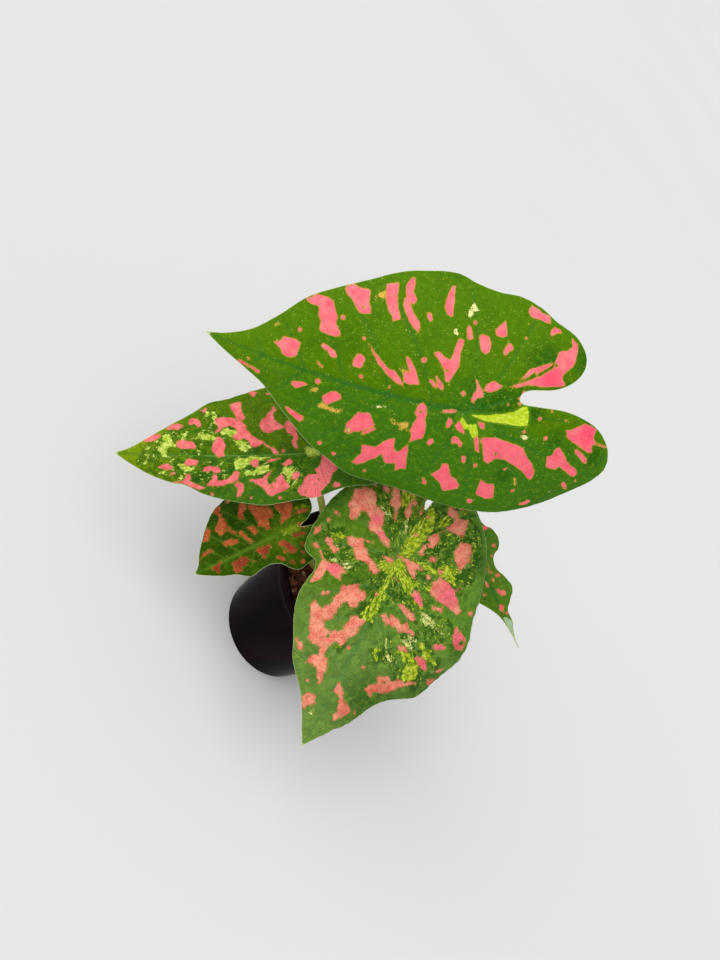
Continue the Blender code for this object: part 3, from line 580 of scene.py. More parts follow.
LIME = {
    "leaf_1": shapes("""
    -61,-5 -50,-2 -16,3 -2,2 -6,0 -18,-3 -34,-10 -42,-14 -49,-22 -53,-23 -58,-15; -17,20 -12,23 -6,16 2,17
    7,9 5,6 -2,12 -10,9 -14,14
    """),
    "leaf_2": shapes("""
    21,17 29,32 32,30 31,24 37,22 34,16 27,14; 18,29 22,36 29,39 27,35 22,32 20,28; 50,18 56,24 77,24 76,20
    67,19 56,12 51,13; 47,4 68,9 82,19 87,19 90,6 68,4; 70,-7 75,-2 80,-2 86,-7 89,-13 80,-15; 85,-20 92,-18
    98,-21 104,-18 104,-23 98,-27 86,-24; 107,-28 111,-32 115,-42 121,-42 122,-45 112,-46; 108,-15 116,-13
    132,-16 128,-21 114,-22; 141,-18 148,-15 152,-17 150,-21 142,-21; 163,0 167,3 171,2 173,-6 168,-14
    171,-18 162,-20 157,-17 160,-10 154,-7 162,-4; 132,18 138,21 151,15 145,12; 187,10 189,14 192,12; -5,1
    4,4 10,1 11,-7 -4,-5
    """),
    "leaf_3": shapes("""
    -71,14 -66,22 -50,24 -34,22 -6,14 -5,4 -20,2 -36,4; -76,-8 -62,-9 -50,-12 -56,-18 -72,-26 -78,-20; 4,2
    16,5 21,-1 18,-15 12,-12; 8,7 20,6 66,7 76,8 78,1 75,-7 56,-4 40,0 22,1; -6,5 2,12 8,16 14,22 17,36
    22,32 30,34 27,22 20,12 14,5 4,1; -18,72 -2,80 -4,54 -12,51 -19,56 -20,64; 8,52 19,54 19,44 12,48; -7,22
    -9,44 -5,60 -2,58 -4,40 -3,24; 33,40 38,58 41,57 36,38; 89,71 97,82 101,85 109,84 116,79 120,72 115,67
    108,67 104,62 96,59 94,49 90,48 88,65; 99,25 104,30 111,31 104,24; 82,90 86,102 88,92 84,80 74,66 71,72;
    2,-60 8,-62 12,-70 10,-76 3,-66; -68,40 -60,40 -54,34 -60,29 -68,30; 112,-10 118,-11 118,-16 114,-16
    """),
    "leaf_4": shapes("""
    -22,5 -8,7 0,3 0,-2 -22,-2; -40,-14 -28,-16 -24,-20 -34,-19
    """),
    "leaf_5": shapes("""
    10,-12 18,-6 28,-8 40,-14 28,-18 16,-18
    """),
}
FRECKLED = {
    "leaf_1": shapes("""
    -28,30 -28,8 -6,-2 10,4 10,20 -6,32
    """),
    "leaf_2": shapes("""
    88,26 144,30 176,22 196,10 184,-10 160,-24 132,-26 116,-40 100,-26 96,-12 124,-12 126,10 100,12; 12,18
    18,36 28,40 28,34 20,26 20,16
    """),
    "leaf_3": shapes("""
    -92,32 -84,64 -60,84 -28,96 0,92 -4,36 -24,26 -56,26; -8,-6 8,-14 24,-16 40,-10 48,0 46,20 36,42 24,56
    8,60 -6,54 -12,28; 34,38 42,60 38,88 46,112 60,96 62,72 56,54 42,38; 66,44 68,68 80,94 100,94 120,86
    122,64 98,28 84,28 90,48; -80,-4 -80,-28 -64,-44 -38,-52 -32,-28 -8,0 -40,2; 20,-34 38,-36 40,-60 30,-72
    8,-66 12,-88 4,-80 0,-62 14,-54
    """),
    "leaf_4": shapes("""
    -32,-6 -32,10 -8,12 4,4 0,-6; -44,-8 -24,-12 -24,-22 -40,-22
    """),
    "leaf_5": shapes("""
    8,-8 20,0 44,-6 52,-18 24,-24
    """),
}
# Two cream shapes are painted light: the first blade's last is a painted highlight, a small glint on its
# pink, and the fifth blade's pale tip is partly a painted sheen in the colour of its twisted underside
CREAM = {
    "leaf_1": shapes("""
    -67,7 -63,10 -56,7 -62,5; -124,56 -122,59 -120,57; 79,20 87,24 89,23 80,19; 36,-66 40,-66 42,-71 39,-73;
    30,-85 33,-87 33,-93 31,-103 26,-97 24,-96 28,-91; 105,56 108,58 109,55 106,53
    """),
    "leaf_3": shapes("""
    -45,-6 -34,-2 -27,-2 -36,-6; -41,-26 -39,-24 -37,-31 -40,-35; -45,-36 -41,-36 -41,-41; 40,50 42,66 46,75
    50,75 52,64 50,56 47,66 44,60 43,50; 49,98 52,92 53,82 50,76 52,88; 70,52 72,64 75,65 77,57 84,66 86,64
    80,50 79,46 76,52; 100,41 107,52 105,46 102,40; 87,31 99,40 101,43 94,35; 30,-41 34,-39 37,-45 35,-52
    36,-62 34,-63; 190,-4 194,-4 193,-7
    """),
    "leaf_5": shapes("""
    118,7 122,13 130,19 138,17 146,13 170,14 170,10 150,9 134,7
    """),
}
STRAW = {
    "leaf_1": shapes("""
    -83,60 -78,59 -75,53 -79,56; 51,36 59,39 60,30 55,27; 63,33 71,36 69,31 64,30; 117,37 122,42 142,43
    141,37 124,39; 148,26 155,28 150,24; 114,-78 123,-74 121,-81 115,-84; 75,-17 80,-19 78,-20 75,-19;
    202,-21 206,-18 204,-21
    """),
}

# Small spots of pink, islands inside the splashes where the pink gives way, places where the pink runs
# hotter, and spots of painted shade where the green and the pink are darkened, each as u,v,radius in
# millimetres
SPOTS = {
    "leaf_1": corners("""
    -42.5,1,1 -40,33.5,0.9 -13.5,25,0.9 -20.5,46.5,1.4 -30,1,0.7 38.5,48.5,0.7 56.5,44,1 65,40.5,1.1
    56,0,0.8 41.5,0.5,0.6 6.5,-8,1 -35.5,-7.5,0.9 -15.5,-42.5,0.7 12,-41.5,0.9 30,-17,1.2 73,-23.5,0.9
    90.5,-11.5,0.8 75,9,1.2 -71.5,19,0.6 -29.5,22.5,0.7 60.5,-17.5,0.6 110,9.5,0.6 -22.3,-11.6,0.8
    -21,-14.2,0.6 -22.6,-17,0.9 -50,-10.2,0.5 -40.3,-13,0.6 -16.5,-9.7,0.5
    """),
    "leaf_2": corners("19.5,25,1 35.5,25,0.8 57,23,1.1 27,-35,0.7 17.5,-1,0.9"),
    "leaf_3": corners("""
    -32,-27.5,1 -8,-40.5,1 -2,-42.5,1.2 8,56.5,1.6 82,-13,0.9 62,11,0.9 56,-1,0.6 -29,7,1 -16.5,5,1
    23.5,-0.5,0.9 1.5,22,1.1
    """),
    "leaf_4": corners("-4,20.5,1.4 23.5,-32.5,1.2 -6,15.5,0.9 3,11,0.9"),
    "leaf_5": corners("20.5,13.5,0.9 15.5,8.5,1 34,7,1 58.5,8,0.9"),
}
# The first blade's island at 53.3,27.9 opens its pink over the painted highlight among the cream shapes
ISLANDS = {
    "leaf_1": corners("""
    -21,16,1 53.3,27.9,1.2 23,7,0.9 -35,-34.5,1.2 17.5,-16,0.9 65.5,-31,0.7 91.5,-1,0.8
    """),
    "leaf_2": corners("5,22,0.9 0,17,0.7 24,19,0.8 22,15.5,0.9 -2,14.5,0.6 27,-16,0.6"),
    "leaf_3": corners("26,59,1.5 -18,-22,0.7 65,25,0.7 55,-14,0.7 5,34,0.5"),
}
HOT = {
    "leaf_1": corners("-66,-6,9 -34,-27,8"),
    "leaf_2": corners("-4,14,18"),
    "leaf_3": corners("4,38,11 21,-28,6 -14,-19,5 25,56,8 15,22,5 46,42,5 -8,-12,3 33,46,4"),
    "leaf_4": corners("-2,9,7 12,6,7 28,6,9 43,3,6 -8,13,6 3,19,6 -8,5,6"),
    "leaf_5": corners("3,18,4"),
}
# Painted shade: the blades darken in their folds, by their lobes and under other blades; spots centred off a
# blade shade its edge
PAINTED_SHADE = {
    "leaf_1": corners("""
    -76,4,8 -66,-12,6 -54,-42,16 -30,-33,15 -42,-23,8 -15,-10,12 -22,-15,7 -8,-6,6 -30,27,6 -32,-10,7
    -48,0,7
    """),
    "leaf_2": corners("14,2,10 28,10,9 33,0,9 58,11,14 50,-11,6"),
    "leaf_3": corners("""
    22,-7,6 14,-26,7 -32,14,6 18,14,5 -14,22,8 -18,-12,5 28,0,5 -20,46,12 -30,36,10 30,58,7 22,-14,4
    78,26,27 58,50,20 2,-64,34 -16,-50,16
    """),
    "leaf_4": corners("-8,-20,10 20,-18,12 -8,14,8 20,4,8 6,-8,5"),
    "leaf_5": corners("0,8,14 20,-8,12"),
}

# The stretch of each blade that another one hides from the front, and how many splashes a rule
# scatters there
HIDDEN = {
    "leaf_2": corners("-60,22 -25,13 -14,8 -4,-1 9,-16 20,-29 30,-42 -60,-50"),
    "leaf_3": corners("-60,50 -50,36 -42,15 -39,5 -37,-12 -34,-30 -33,-52 -60,-52"),
    "leaf_4": corners("-26,-12 -21,-12.5 0,-17.5 10,-26 20,-34 27,-40 -26,-40"),
    "leaf_5": corners("-26,20 -10,20 0,14 30,1 42,-8 30,-22 0,-32 -26,-30"),
}
SCATTERED = {"leaf_2": 16, "leaf_3": 6, "leaf_4": 6, "leaf_5": 14}

# How far a blade swells between its ribs, and how deep its lime and its cream are at most
SWELL = {"leaf_1": 0.35, "leaf_2": 0.5, "leaf_3": 1.1, "leaf_4": 0.5, "leaf_5": 0.5}
LIME_CORE = {"leaf_1": 2.2, "leaf_2": 0.9, "leaf_3": 0.6, "leaf_4": 0.5, "leaf_5": 0.5}
CREAM_CORE = {"leaf_1": 0.35, "leaf_2": 0.35, "leaf_3": 0.1, "leaf_4": 0.35, "leaf_5": 0.5}


def blade_axes(leaf):
    """Directions of the midrib, the blade's left side and its upper face."""
    azimuth, drop, turn = (math.radians(leaf[k]) for k in ("azimuth", "drop", "turn"))
    heading = np.array([math.cos(azimuth), math.sin(azimuth), 0.0])
    level = np.array([-math.sin(azimuth), math.cos(azimuth), 0.0])
    along = heading * math.cos(drop) - np.array([0.0, 0.0, math.sin(drop)])
    side = math.cos(turn) * level + math.sin(turn) * np.cross(along, level)
    return along, side, np.cross(along, side)


def blade_surface(leaf, u, v):
    """Place flat blade coordinates on the bent and waved blade."""
    tip_bend, lobe_bend, cross_bend = leaf["bend"]
    height, count, phase = leaf["wave"]
    middle, half_length, half_width = leaf["reach"]
    radius = np.where(u > 0, tip_bend, lobe_bend)
    ring = np.hypot((u - middle) / half_length, v / half_width)
    angle = np.arctan2(v / half_width, (u - middle) / half_length)
    wave = height * np.minimum(ring, 1.2) ** 3 * np.sin(count * angle + phase)
    rise = -cross_bend * (1 - np.cos(v / cross_bend)) + wave
    bent_along = radius * np.sin(u / radius) + np.sin(u / radius) * rise
    bent_down = -radius * (1 - np.cos(u / radius)) + np.cos(u / radius) * rise
    across = cross_bend * np.sin(v / cross_bend)
    along_axis, side_axis, up_axis = blade_axes(leaf)
    return (
        np.array(leaf["junction"], float)
        + bent_along[:, None] * along_axis
        + across[:, None] * side_axis
        + bent_down[:, None] * up_axis
    )


def blade_normals(leaf, u, v):
    step = 0.2
    du = blade_surface(leaf, u + step, v) - blade_surface(leaf, u - step, v)
    dv = blade_surface(leaf, u, v + step) - blade_surface(leaf, u, v - step)
    normal = np.cross(du, dv)
    return normal / np.linalg.norm(normal, axis=1)[:, None]


def smooth_outline(knots):
    """A smooth closed line through the knots, with a sharp corner at the first, the tip."""
    line = [*knots, knots[0]]
    padded = [2 * line[0] - line[1], *line, 2 * line[-1] - line[-2]]
    made = []
    for a, b, c, d in zip(padded, padded[1:], padded[2:], padded[3:]):
        count = max(1, round(np.linalg.norm(c - b) / EDGE_STEP))
        for k in range(count):
            t = k / count
            curve = 2 * b + (c - a) * t + (2 * a - 5 * b + 4 * c - d) * t**2 + (3 * b - a - 3 * c + d) * t**3
            made.append(0.5 * curve)
    return np.array(made)


def nearest(points, starts, ends):
    """How far each point is from the nearest of a set of segments, and which one that is."""
    starts, ends = np.asarray(starts, float), np.asarray(ends, float)
    run = ends - starts
    square = np.maximum((run**2).sum(axis=1), 1e-9)
    away = np.empty(len(points))
    which = np.empty(len(points), int)
    batch = 1500
    for low in range(0, len(points), batch):
        gap = points[low : low + batch, None] - starts
        t = np.clip((gap * run).sum(axis=2) / square, 0, 1)
        far = np.hypot(gap[..., 0] - t * run[:, 0], gap[..., 1] - t * run[:, 1])
        which[low : low + batch] = far.argmin(axis=1)
        away[low : low + batch] = far.min(axis=1)
    return away, which


def inside(points, loop):
    """Which points lie inside a closed line."""
    held = np.zeros(len(points), bool)
    for a, b in zip(loop, np.roll(loop, -1, axis=0)):
        spans = (a[1] > points[:, 1]) != (b[1] > points[:, 1])
        rise = b[1] - a[1] if b[1] != a[1] else 1e-12
        crossing = a[0] + (points[:, 1] - a[1]) * (b[0] - a[0]) / rise
        held ^= spans & (points[:, 0] < crossing)
    return held


def depth(points, loop):
    """How deep each point lies inside a closed line, negative outside it."""
    away = nearest(points, loop, np.roll(loop, -1, axis=0))[0]
    return np.where(inside(points, loop), away, -away)


def midrib_side(leaf, share):
    """How far to the left the midrib runs, at a share of the way to the tip."""
    return leaf["outline"][0][1] * share + 4 * leaf["bow"] * share * (1 - share)


def grow_rib(start, heading, turn, loop):
    """A rib that sets off at a heading, turns evenly, and stops short of the margin."""
    line = [np.array(start, float)]
    direction = math.radians(heading)
    while True:
        ahead = line[-1] + FILL_STEP * np.array([math.cos(direction), math.sin(direction)])
        if depth(ahead[None], loop)[0] < RIB_MARGIN:
            return line
        line.append(ahead)
        direction += turn * FILL_STEP


def blade_ribs(leaf, loop):
    """The midrib, the ribs that leave it, and the ribs that spread from the stalk into the lobes."""
    tip = leaf["outline"][0]
    count = round(np.linalg.norm(tip) / FILL_STEP)
    share = np.linspace(0, MIDRIB_SHARE, count + 1)
    midrib = list(np.column_stack([tip[0] * share, midrib_side(leaf, share)]))
    ribs = [midrib]
    for side in (1, -1):
        for t in RIB_ROOTS:
            root = midrib[round(t / MIDRIB_SHARE * count)]
            ribs.append(grow_rib(root, side * (RIB_HEADING - RIB_HEADING_FALL * t), side * RIB_TURN, loop))
        for heading, turn in BASAL_RIBS:
            ribs.append(grow_rib((0, 0), side * heading, side * turn, loop))
    return [rib for rib in ribs if len(rib) > 2]


def blade_net(loop, ribs):
    """The flat blade's points, with edges kept along its margin and its ribs, and its triangles."""
    kept = list(loop)
    edges = [(k, (k + 1) % len(loop)) for k in range(len(loop))]
    for rib in ribs:
        chain = []
        for p in rib:
            near = np.hypot(*(np.array(kept) - p).T)
            if near.min() > NEAR_RIB:
                kept.append(p)
                chain.append(len(kept) - 1)
            elif not chain or near.argmin() != chain[-1]:
                chain.append(int(near.argmin()))
        edges += list(zip(chain, chain[1:]))
    held = KDTree(len(kept))
    for k, p in enumerate(kept):
        held.insert((*p, 0), k)
    held.balance()
    low, high = loop.min(axis=0), loop.max(axis=0)
    rows = []
    for row, y in enumerate(np.arange(low[1], high[1], FILL_STEP * math.sqrt(0.75))):
        start = low[0] + FILL_STEP / 2 * (row % 2)
        rows += [(x, y) for x in np.arange(start, high[0], FILL_STEP)]
    fill = np.array(rows)
    fill = [p for p in fill[inside(fill, loop)] if held.find((*p, 0))[2] > NEAR_EDGE]
    found = delaunay_2d_cdt([Vector(p) for p in kept + fill], edges, [], 1, 1e-5)
    flat = np.array([tuple(p) for p in found[0]])
    place = {old: new for new, olds in enumerate(found[3]) for old in olds}
    margin = [place[k] for k in range(len(loop))]
    triangles = np.array([tuple(f) for f in found[2]])
    a, b, c = (flat[triangles[:, k]] for k in range(3))
    flipped = np.cross(b - a, c - a) < 0
    triangles[flipped] = triangles[flipped][:, ::-1]
    return flat, margin, triangles


def scatter_splashes(name, loop, drawn, rng):
    """More splashes, long along the ribs, on the stretch of a blade that is hidden from the front."""
    made = []
    tries = 0
    while len(made) < SCATTERED.get(name, 0) and tries < MOST_TRIES:
        tries += 1
        middle = rng.uniform(loop.min(axis=0), loop.max(axis=0))
        length, width = rng.uniform(*SPLASH_LENGTH), rng.uniform(*SPLASH_WIDTH)
        if depth(middle[None], loop)[0] < SPLASH_GAP or not inside(middle[None], HIDDEN[name])[0]:
            continue
        if any(depth(middle[None], s)[0] > -width - SPLASH_GAP for s in drawn + made):
            continue
        heading = math.atan2(middle[1], middle[0]) + rng.normal(0, 0.25)
        along = np.array([math.cos(heading), math.sin(heading)])
        across = np.array([-along[1], along[0]])
        splash = []
        for k in range(SPLASH_CORNERS):
            angle = 2 * math.pi * k / SPLASH_CORNERS + rng.uniform(-0.25, 0.25)
            reach = rng.uniform(0.6, 1.15)
            arm = length * math.cos(angle) * along + width * math.sin(angle) * across
            splash.append(middle + reach * arm)
        made.append(np.array(splash))
    return made


def blade_marks(name, flat, loop, rng):
    """How deep each point lies in the splashes of each colour, how hot its pink runs, and how much painted
    shade it takes.
    """
    u, v = flat.T
    splashes = PINK[name] + scatter_splashes(name, loop, PINK[name], rng)
    spots = [r - np.hypot(u - x, v - y) for x, y, r in SPOTS[name]]
    pink = np.max([depth(flat, s) for s in splashes] + spots, axis=0)
    for x, y, r in ISLANDS.get(name, ()):
        pink = np.minimum(pink, np.hypot(u - x, v - y) - r)
    none = np.full(len(flat), FAR_AWAY)
    lime, freckled, cream, straw = (
        np.max([depth(flat, s) for s in table.get(name, ())] + [none], axis=0)
        for table in (LIME, FRECKLED, CREAM, STRAW)
    )
    hot, dusk = (
        np.max([np.clip(1.5 - 1.5 * np.hypot(u - x, v - y) / r, 0, 1) for x, y, r in table[name]], axis=0)
        for table in (HOT, PAINTED_SHADE)
    )
    return {
        "pink": np.clip(pink, -MARK_DEPTH, MARK_DEPTH),
        "lime": np.clip(np.maximum(lime, np.minimum(freckled, FRECKLED_DEPTH)), LIME_FAR, LIME_CORE[name]),
        "cream": np.minimum(cream, CREAM_CORE[name]), "straw": np.minimum(straw, STRAW_CORE),
        "hot": hot, "dusk": dusk,
    }


def make_blade(name, finish, rng):
    """One blade: sunken ribs and swells between them above, standing ribs below, thin at its margin."""
    leaf = LEAVES[name]
    loop = smooth_outline(leaf["outline"])
    ribs = blade_ribs(leaf, loop)
    flat, margin, triangles = blade_net(loop, ribs)
    u, v = flat.T
    edge = np.abs(depth(flat, loop))
    starts, ends, sizes = [], [], []
    for rib in ribs:
        for k in range(0, len(rib) - 1, 2):
            starts.append(rib[k])
            ends.append(rib[min(k + 2, len(rib) - 1)])
            sizes.append((1.0 if rib is ribs[0] else SIDE_RIB_SIZE) * (1 - RIB_TAPER * k / len(rib)))
    to_rib, which = nearest(flat, starts, ends)
    size = np.array(sizes)[which]
    far_out = np.hypot(u, v)
    share = np.clip(u / leaf["outline"][0][0], 0, 1)

    swell = SWELL[name] * (1 - np.exp(-((to_rib / VALLEY_WIDTH) ** 2))) * np.clip(edge / SWELL_MARGIN, 0, 1)
    pucker = np.sin(0.9 * u + 1.7 * np.sin(0.5 * v)) * np.sin(0.8 * v + 1.3 * np.sin(0.4 * u))
    around = np.arctan2(v, u - leaf["reach"][0])
    frill = np.sin(17 * around + 2 * np.sin(5 * around)) * np.sin(5 * around + 1)
    lift = swell + PUCKER_SHARE * SWELL[name] * pucker + FRILL_HEIGHT * np.exp(-edge / FRILL_REACH) * frill
    thin = np.clip(edge / MARGIN_TAPER, 0, 1) ** 0.6
    half = (MARGIN_THICKNESS + (BLADE_THICKNESS - MARGIN_THICKNESS) * thin) / 2
    groove = GROOVE * size * np.exp(-((to_rib / GROOVE_WIDTH) ** 2))
    stand = RIB_HEIGHT * size * np.exp(-((to_rib / (RIB_WIDTH * (0.4 + 0.6 * size))) ** 2))
    boss = BOSS_HEIGHT * np.clip(1 - (far_out / BOSS_RADIUS) ** 2, 0, 1)
    centre = blade_surface(leaf, u, v)
    normal = blade_normals(leaf, u, v)
    above = centre + normal * (half + lift - groove)[:, None]
    below = centre + normal * (lift - half - np.maximum(stand, boss))[:, None]

    total = len(flat)
    faces = [tuple(f) for f in triangles] + [(total + a, total + c, total + b) for a, b, c in triangles]
    for a, b in zip(margin, margin[1:] + margin[:1]):
        faces += [(a, total + a, total + b), (a, total + b, b)]
    marks = blade_marks(name, flat, loop, rng) | {
        "flat": np.column_stack([u, v, 0 * u]), "far_out": far_out, "rib": to_rib, "size": size, "edge": edge,
        "fan": np.column_stack([FAN_SPREAD * np.arctan2(v, u), FAN_LENGTH * far_out, 0 * u]),
        "off_midrib": v - midrib_side(leaf, share),
    }
    marks = {mark: np.concatenate([values, values]) for mark, values in marks.items()}
    marks["under"] = np.repeat([0.0, 1.0], total)
    return piece(name + "_blade", np.vstack([above, below]), faces, finish, BLADE_SHARP_ANGLE, **marks)


def blade_green(finish, look, flat, cloud, mottle, grain, streaks):
    """The green, which changes from half to half, to the tip and to the heart. The change between the halves
    is partly the plant's own and partly painted shade and painted sheen on the fold along the midrib.
    """
    along = finish.node("ShaderNodeSeparateXYZ", {}, {"Vector": flat}, "X")
    far_out = finish.mark("far_out")
    near = finish.fall(far_out, 10, 45) * look["rays"]
    return finish.layered(
        look["right"], look,
        # partly painted shade and sheen: the halves on either side of the midrib take different greens
        ("left", finish.rise(finish.mark("off_midrib"), -2.0, 5.0)),
        ("tip", finish.rise(along, *look["tip reach"])),
        ("heart", finish.fall(far_out, 2, look["heart reach"]) * 0.7),
        # painted shade: the green darkens to deep green where the painted shade spots lie
        ("dusk", finish.mark("dusk") * 0.75),
        ("dusk", finish.rise(streaks, 0.52, 0.62) * near),
        ("fresh", finish.fall(streaks, 0.36, 0.46) * near),
        ("vein", finish.fall(finish.mark("rib"), 0.2, 1.9) * look["veined"] * 0.8),
        ("dusk", finish.rise(cloud, 0.5, 0.75) * 0.35),
        ("fresh", finish.rise(mottle, 0.48, 0.72) * look["mottled"]),
        ("dusk", finish.rise(grain, 0.52, 0.7) * look["mottled"]),
        ("fresh", finish.fall(grain, 0.3, 0.48) * look["mottled"]),
    )


def blade_finish(name, look):
    """Satin leaf skin. The splashes' drawn edges are frayed here, and all fine markings are added."""
    look = {word: paint(*value) if np.size(value) == 3 else value for word, value in look.items()}
    finish = Finish(name, Specular_IOR_Level=look["gloss"])
    flat = finish.mark("flat", "Vector")
    size, edge, off_midrib = (finish.mark(word) for word in ("size", "edge", "off_midrib"))
    cloud = finish.noise(flat, 24, 3)
    mottle = finish.noise(flat, 2.6, 4, 0.6)
    grain = finish.noise(flat, 0.65, 3, 0.65)
    fan = finish.noise(finish.mark("fan", "Vector"), 1.3, 3, 0.6)
    streaks = finish.noise(finish.mark("fan", "Vector"), 0.9, 3, 0.6)
    fray = (fan - 0.5) * 0.6 + (mottle - 0.5) * 0.5 + (grain - 0.5) * 0.7
    shoved = {0: finish.noise(flat, 2, 3, output="Color"), 1: (5, 5, 0), 2: flat}
    drift = finish.node("ShaderNodeVectorMath", {"operation": "MULTIPLY_ADD"}, shoved)
    patch = finish.channel(finish.cells(drift, 0.36, "Color"), "Red")
    patched = (0.25 + 0.75 * finish.rise(finish.mark("lime"), -5.0, -0.5)) * look["patchy"]
    off = finish.node("ShaderNodeMath", {"operation": "ABSOLUTE"}, {0: off_midrib})
    beside = finish.fall(off, 0.2, 0.4 + look["midrib reach"] * size) * finish.rise(size, 0.35, 0.8)
    midrib = finish.fall(off, 0.1, look["midrib width"]) * finish.rise(size, 0.35, 0.7)
    line = finish.fall(finish.mark("rib") - 0.3 * size, -0.1, 0.6)
    net = finish.cells(flat, 0.34, feature="DISTANCE_TO_EDGE")
    green = finish.layered(
        blade_green(finish, look, flat, cloud, mottle, grain, streaks), look,
        ("dusk", patch.above(0.6) * patched),
        ("fresh", (1 - patch.above(0.25)) * patched),
        ("beside", beside * 0.5),
        ("midrib", midrib * look["midrib shown"]),
        ("vein", line * look["veined"]),
        ("vein", finish.fall(net, 0.0, 0.09) * 0.08),
    )

    tint = finish.noise(flat, 1.7, 4, 0.6) * 0.5 + streaks * 0.5
    lime = finish.layered(
        look["lime"], look,
        ("pale lime", finish.rise(tint, 0.44, 0.56)),
        ("cream", finish.rise(tint, 0.56, 0.62) * look["creamy"]),
    )
    left_half = finish.rise(off_midrib, -3.0, 12.0)
    striped = 0.5 - 0.4 * finish.rise(edge, 6, 16)
    pink = finish.layered(
        look["pink"], look,
        ("rose", finish.rise(finish.noise(flat, 5, 3), 0.4, 0.65)),
        ("hot", finish.mark("hot").greater(left_half * look["hot half"])),
        ("shade", finish.rise(grain + (fan - 0.5) * 0.5, 0.5, 0.66) * look["speckle"]),
        ("shine", finish.fall(grain, 0.34, 0.48) * look["speckle"]),
        ("shade", line * 0.25),
        # painted shade on the pink, where the painted shade spots lie
        ("shade", finish.mark("dusk") * look["dim"]),
        ("shade", finish.rise(streaks, 0.56, 0.64) * striped),
    )
    lime_reach = finish.mark("lime") + (fray * 0.8 + (streaks - 0.5) * 0.8) * look["lime fray"]
    pink_reach = finish.mark("pink") + fray * look["fray"]
    skin = finish.layered(
        green, look,
        ("lime edge", finish.rise(lime_reach, -1.6, -0.4) * 0.6),
        (lime, finish.rise(lime_reach, -0.2, 0.2)),
        ("straw", finish.rise(finish.mark("straw") + fray * 7, -0.15, 0.25) * 0.9),
        ("cream", finish.rise(finish.mark("cream") + fray * look["cream fray"], -0.1, 0.15)),
        ("halo", finish.rise(pink_reach, -0.65, -0.1) * look["halo share"]),
        (pink, finish.rise(pink_reach, -0.12, 0.12)),
    )
    for scale, radius, chance in ((0.21, 0.075, look["flecks"]), (0.6, 0.16, look["freckles"])):
        drawn = finish.cells(flat, scale, "Color")
        kept = finish.channel(drawn, "Red").above(1 - chance)
        tone = finish.mix(look["speck"], look["halo"], finish.channel(drawn, "Green").above(0.7))
        dot = finish.fall(finish.cells(flat, scale), 0.5 * radius, radius) * kept
        skin = finish.mix(skin, tone, dot * 0.75)

    under = finish.mark("under")
    skin = finish.mix(skin, look["margin"], finish.fall(edge, 0.02, 0.35) * 0.8)
    back = finish.layered(skin, look, ("back", 0.55), ("back rib", line * 0.7))
    finish.wear("Base Color", finish.mix(skin, back, under))
    finish.wear("Roughness", look["roughness"] + 0.12 * mottle + 0.1 * under)
    folds = finish.noise(flat, 7, 2) * 1.6 + mottle + patch * 0.3
    finish.bump(folds + grain * 0.35 + finish.rise(net, 0.0, 0.12) * 0.15, 0.8, look["relief"])
    return finish.made


# The tones of the skin, from 0 to 255, and how strongly each marking shows. The first look is the
# common one, and each leaf changes what differs on it.
LOOK = {
    "left": (62, 114, 16), "right": (77, 118, 0), "tip": (84, 124, 6), "tip reach": (60, 130),
    "heart": (30, 96, 20), "heart reach": 26, "dusk": (26, 82, 8), "fresh": (104, 148, 16), "mottled": 0.6,
    "beside": (28, 98, 32), "midrib reach": 3.0, "midrib": (60, 124, 60), "midrib shown": 0.0,
    "midrib width": 0.5, "vein": (38, 106, 36), "veined": 0.3, "lime edge": (90, 140, 16),
    "lime": (174, 200, 22), "pale lime": (202, 222, 66), "cream": (236, 228, 156), "creamy": 0.2,
    "straw": (222, 178, 76), "pink": (245, 128, 130), "rose": (240, 104, 116), "hot": (246, 84, 108),
    "shade": (216, 72, 92), "shine": (255, 150, 160), "halo": (206, 150, 66), "speck": (212, 210, 110),
    "margin": (200, 212, 150), "back": (140, 172, 116), "back rib": (176, 198, 140), "gloss": 0.035,
    "roughness": 0.38, "fray": 1.8, "lime fray": 1.6, "cream fray": 3.0, "halo share": 0.75, "patchy": 0.08,
    "speckle": 0.25, "flecks": 0.2, "freckles": 0.6, "relief": 0.25, "rays": 0.12, "dim": 0.15,
    "hot half": 0.0,
}
